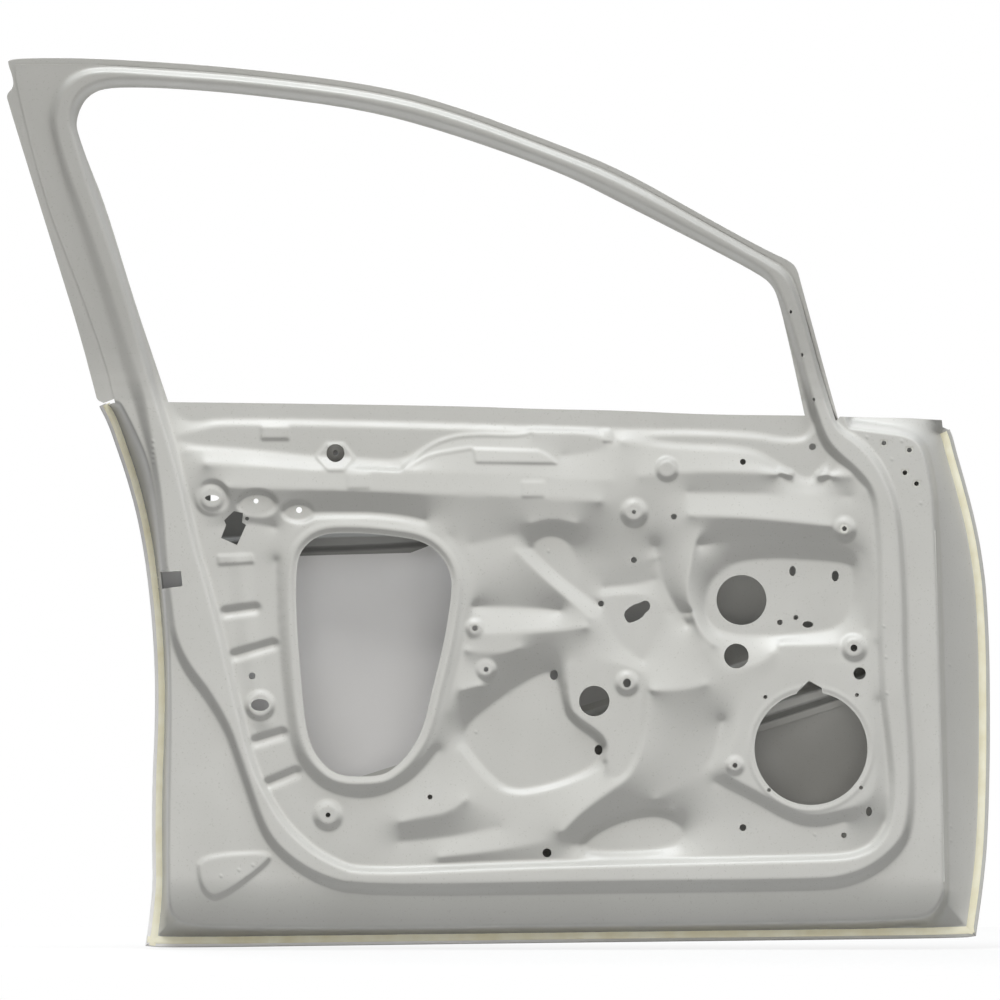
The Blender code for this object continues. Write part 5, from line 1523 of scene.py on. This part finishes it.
def floor_finish():
    """Pale floor that keeps the door's shadow and glows a little where it is looked at."""
    pale = bpy.data.materials.new("pale_floor")
    pale.use_nodes = True
    nodes, links = pale.node_tree.nodes, pale.node_tree.links
    shader = nodes["Principled BSDF"]
    shader.inputs["Base Color"].default_value = FLOOR_COLOUR
    shader.inputs["Roughness"].default_value = 0.7
    glow = nodes.new("ShaderNodeEmission")
    share = nodes.new("ShaderNodeMath")
    share.operation = "MULTIPLY"
    share.inputs[1].default_value = FLOOR_GLOW
    links.new(seen_directly(nodes, links), share.inputs[0])
    mix_shaders(nodes, links, share.outputs["Value"], shader.outputs["BSDF"],
                glow.outputs["Emission"], nodes["Material Output"].inputs["Surface"])
    return pale


def lay_floor(centre, height):
    """A square floor just under the door."""
    mesh = bmesh.new()
    bmesh.ops.create_grid(mesh, x_segments=1, y_segments=1, size=FLOOR_SIZE)
    bmesh.ops.translate(mesh, verts=mesh.verts, vec=(centre.x, centre.y, height - FLOOR_GAP))
    data = bpy.data.meshes.new("floor")
    mesh.to_mesh(data)
    mesh.free()
    data.materials.append(floor_finish())
    floor = bpy.data.objects.new("floor", data)
    bpy.context.scene.collection.objects.link(floor)


def add_camera():
    """A far camera square to the door, which sees what the photograph's frame holds."""
    camera = bpy.data.cameras.new("camera")
    camera.type = "PERSP"
    camera.sensor_width = CAMERA_SENSOR
    camera.lens = camera.sensor_width * CAMERA_DISTANCE / (PHOTO_SIDE * PIXEL)
    camera.clip_end = CAMERA_REACH
    holder = bpy.data.objects.new("camera", camera)
    bpy.context.scene.collection.objects.link(holder)
    x, z = at((PHOTO_SIDE / 2, PHOTO_SIDE / 2))
    holder.location = (x, CAMERA_FOCUS_Y - CAMERA_DISTANCE, z)
    holder.rotation_euler = (math.pi / 2, 0, 0)
    return holder


class DOORSHELL_OT_stage(bpy.types.Operator):
    """Sets the pale floor, the soft lamps and the camera"""
    bl_idname = "door_shell.stage"
    bl_label = "Studio"
    bl_options = {"REGISTER"}

    def execute(self, context):
        scene = context.scene
        scene.view_settings.view_transform = "Standard"
        low, high = CAD_BOX
        centre = (low + high) / 2
        scene.world = light_world()
        lay_floor(centre, low.z)
        for name, (x, y, z), size, power, colour in LAMPS:
            aim = (centre.x, AIM_Y, centre.z)
            add_lamp(name, (centre.x + x, y, centre.z + z), aim, size, power, colour)
        bpy.context.scene.camera = add_camera()
        return {"FINISHED"}


class DOORSHELL_PT_panel(bpy.types.Panel):
    """Builds the door shell piece by piece"""
    bl_label = "Door Shell"
    bl_idname = "DOORSHELL_PT_panel"
    bl_space_type = "VIEW_3D"
    bl_region_type = "UI"
    bl_category = "Door Shell"

    def draw(self, context):
        for settings in (context.scene.door_shell_sizes, context.scene.door_shell_colours):
            for name in settings.__annotations__:
                self.layout.prop(settings, name)
        for operator in OPERATORS:
            self.layout.operator(operator.bl_idname)


OPERATORS = (
    DOORSHELL_OT_carried_pieces, DOORSHELL_OT_inner_panel, DOORSHELL_OT_outer_skin,
    DOORSHELL_OT_hem_sealant, DOORSHELL_OT_window_frame_outer, DOORSHELL_OT_belt_rail_outer,
    DOORSHELL_OT_belt_rail_inner, DOORSHELL_OT_handle_reinforcement, DOORSHELL_OT_impact_beam,
    DOORSHELL_OT_stage,
)
CLASSES = (DoorShellSizes, DoorShellColours) + OPERATORS + (DOORSHELL_PT_panel,)


def register():
    for entry in CLASSES:
        bpy.utils.register_class(entry)
    bpy.types.Scene.door_shell_sizes = PointerProperty(type=DoorShellSizes)
    bpy.types.Scene.door_shell_colours = PointerProperty(type=DoorShellColours)


def unregister():
    del bpy.types.Scene.door_shell_sizes
    del bpy.types.Scene.door_shell_colours
    for entry in reversed(CLASSES):
        bpy.utils.unregister_class(entry)


def main():
    register()
    shell = bpy.ops.door_shell
    shell.carried_pieces()
    shell.inner_panel()
    shell.outer_skin()
    shell.hem_sealant()
    shell.window_frame_outer()
    shell.belt_rail_outer()
    shell.belt_rail_inner()
    shell.handle_reinforcement()
    shell.impact_beam()
    shell.stage()


if __name__ == "__main__":
    main()
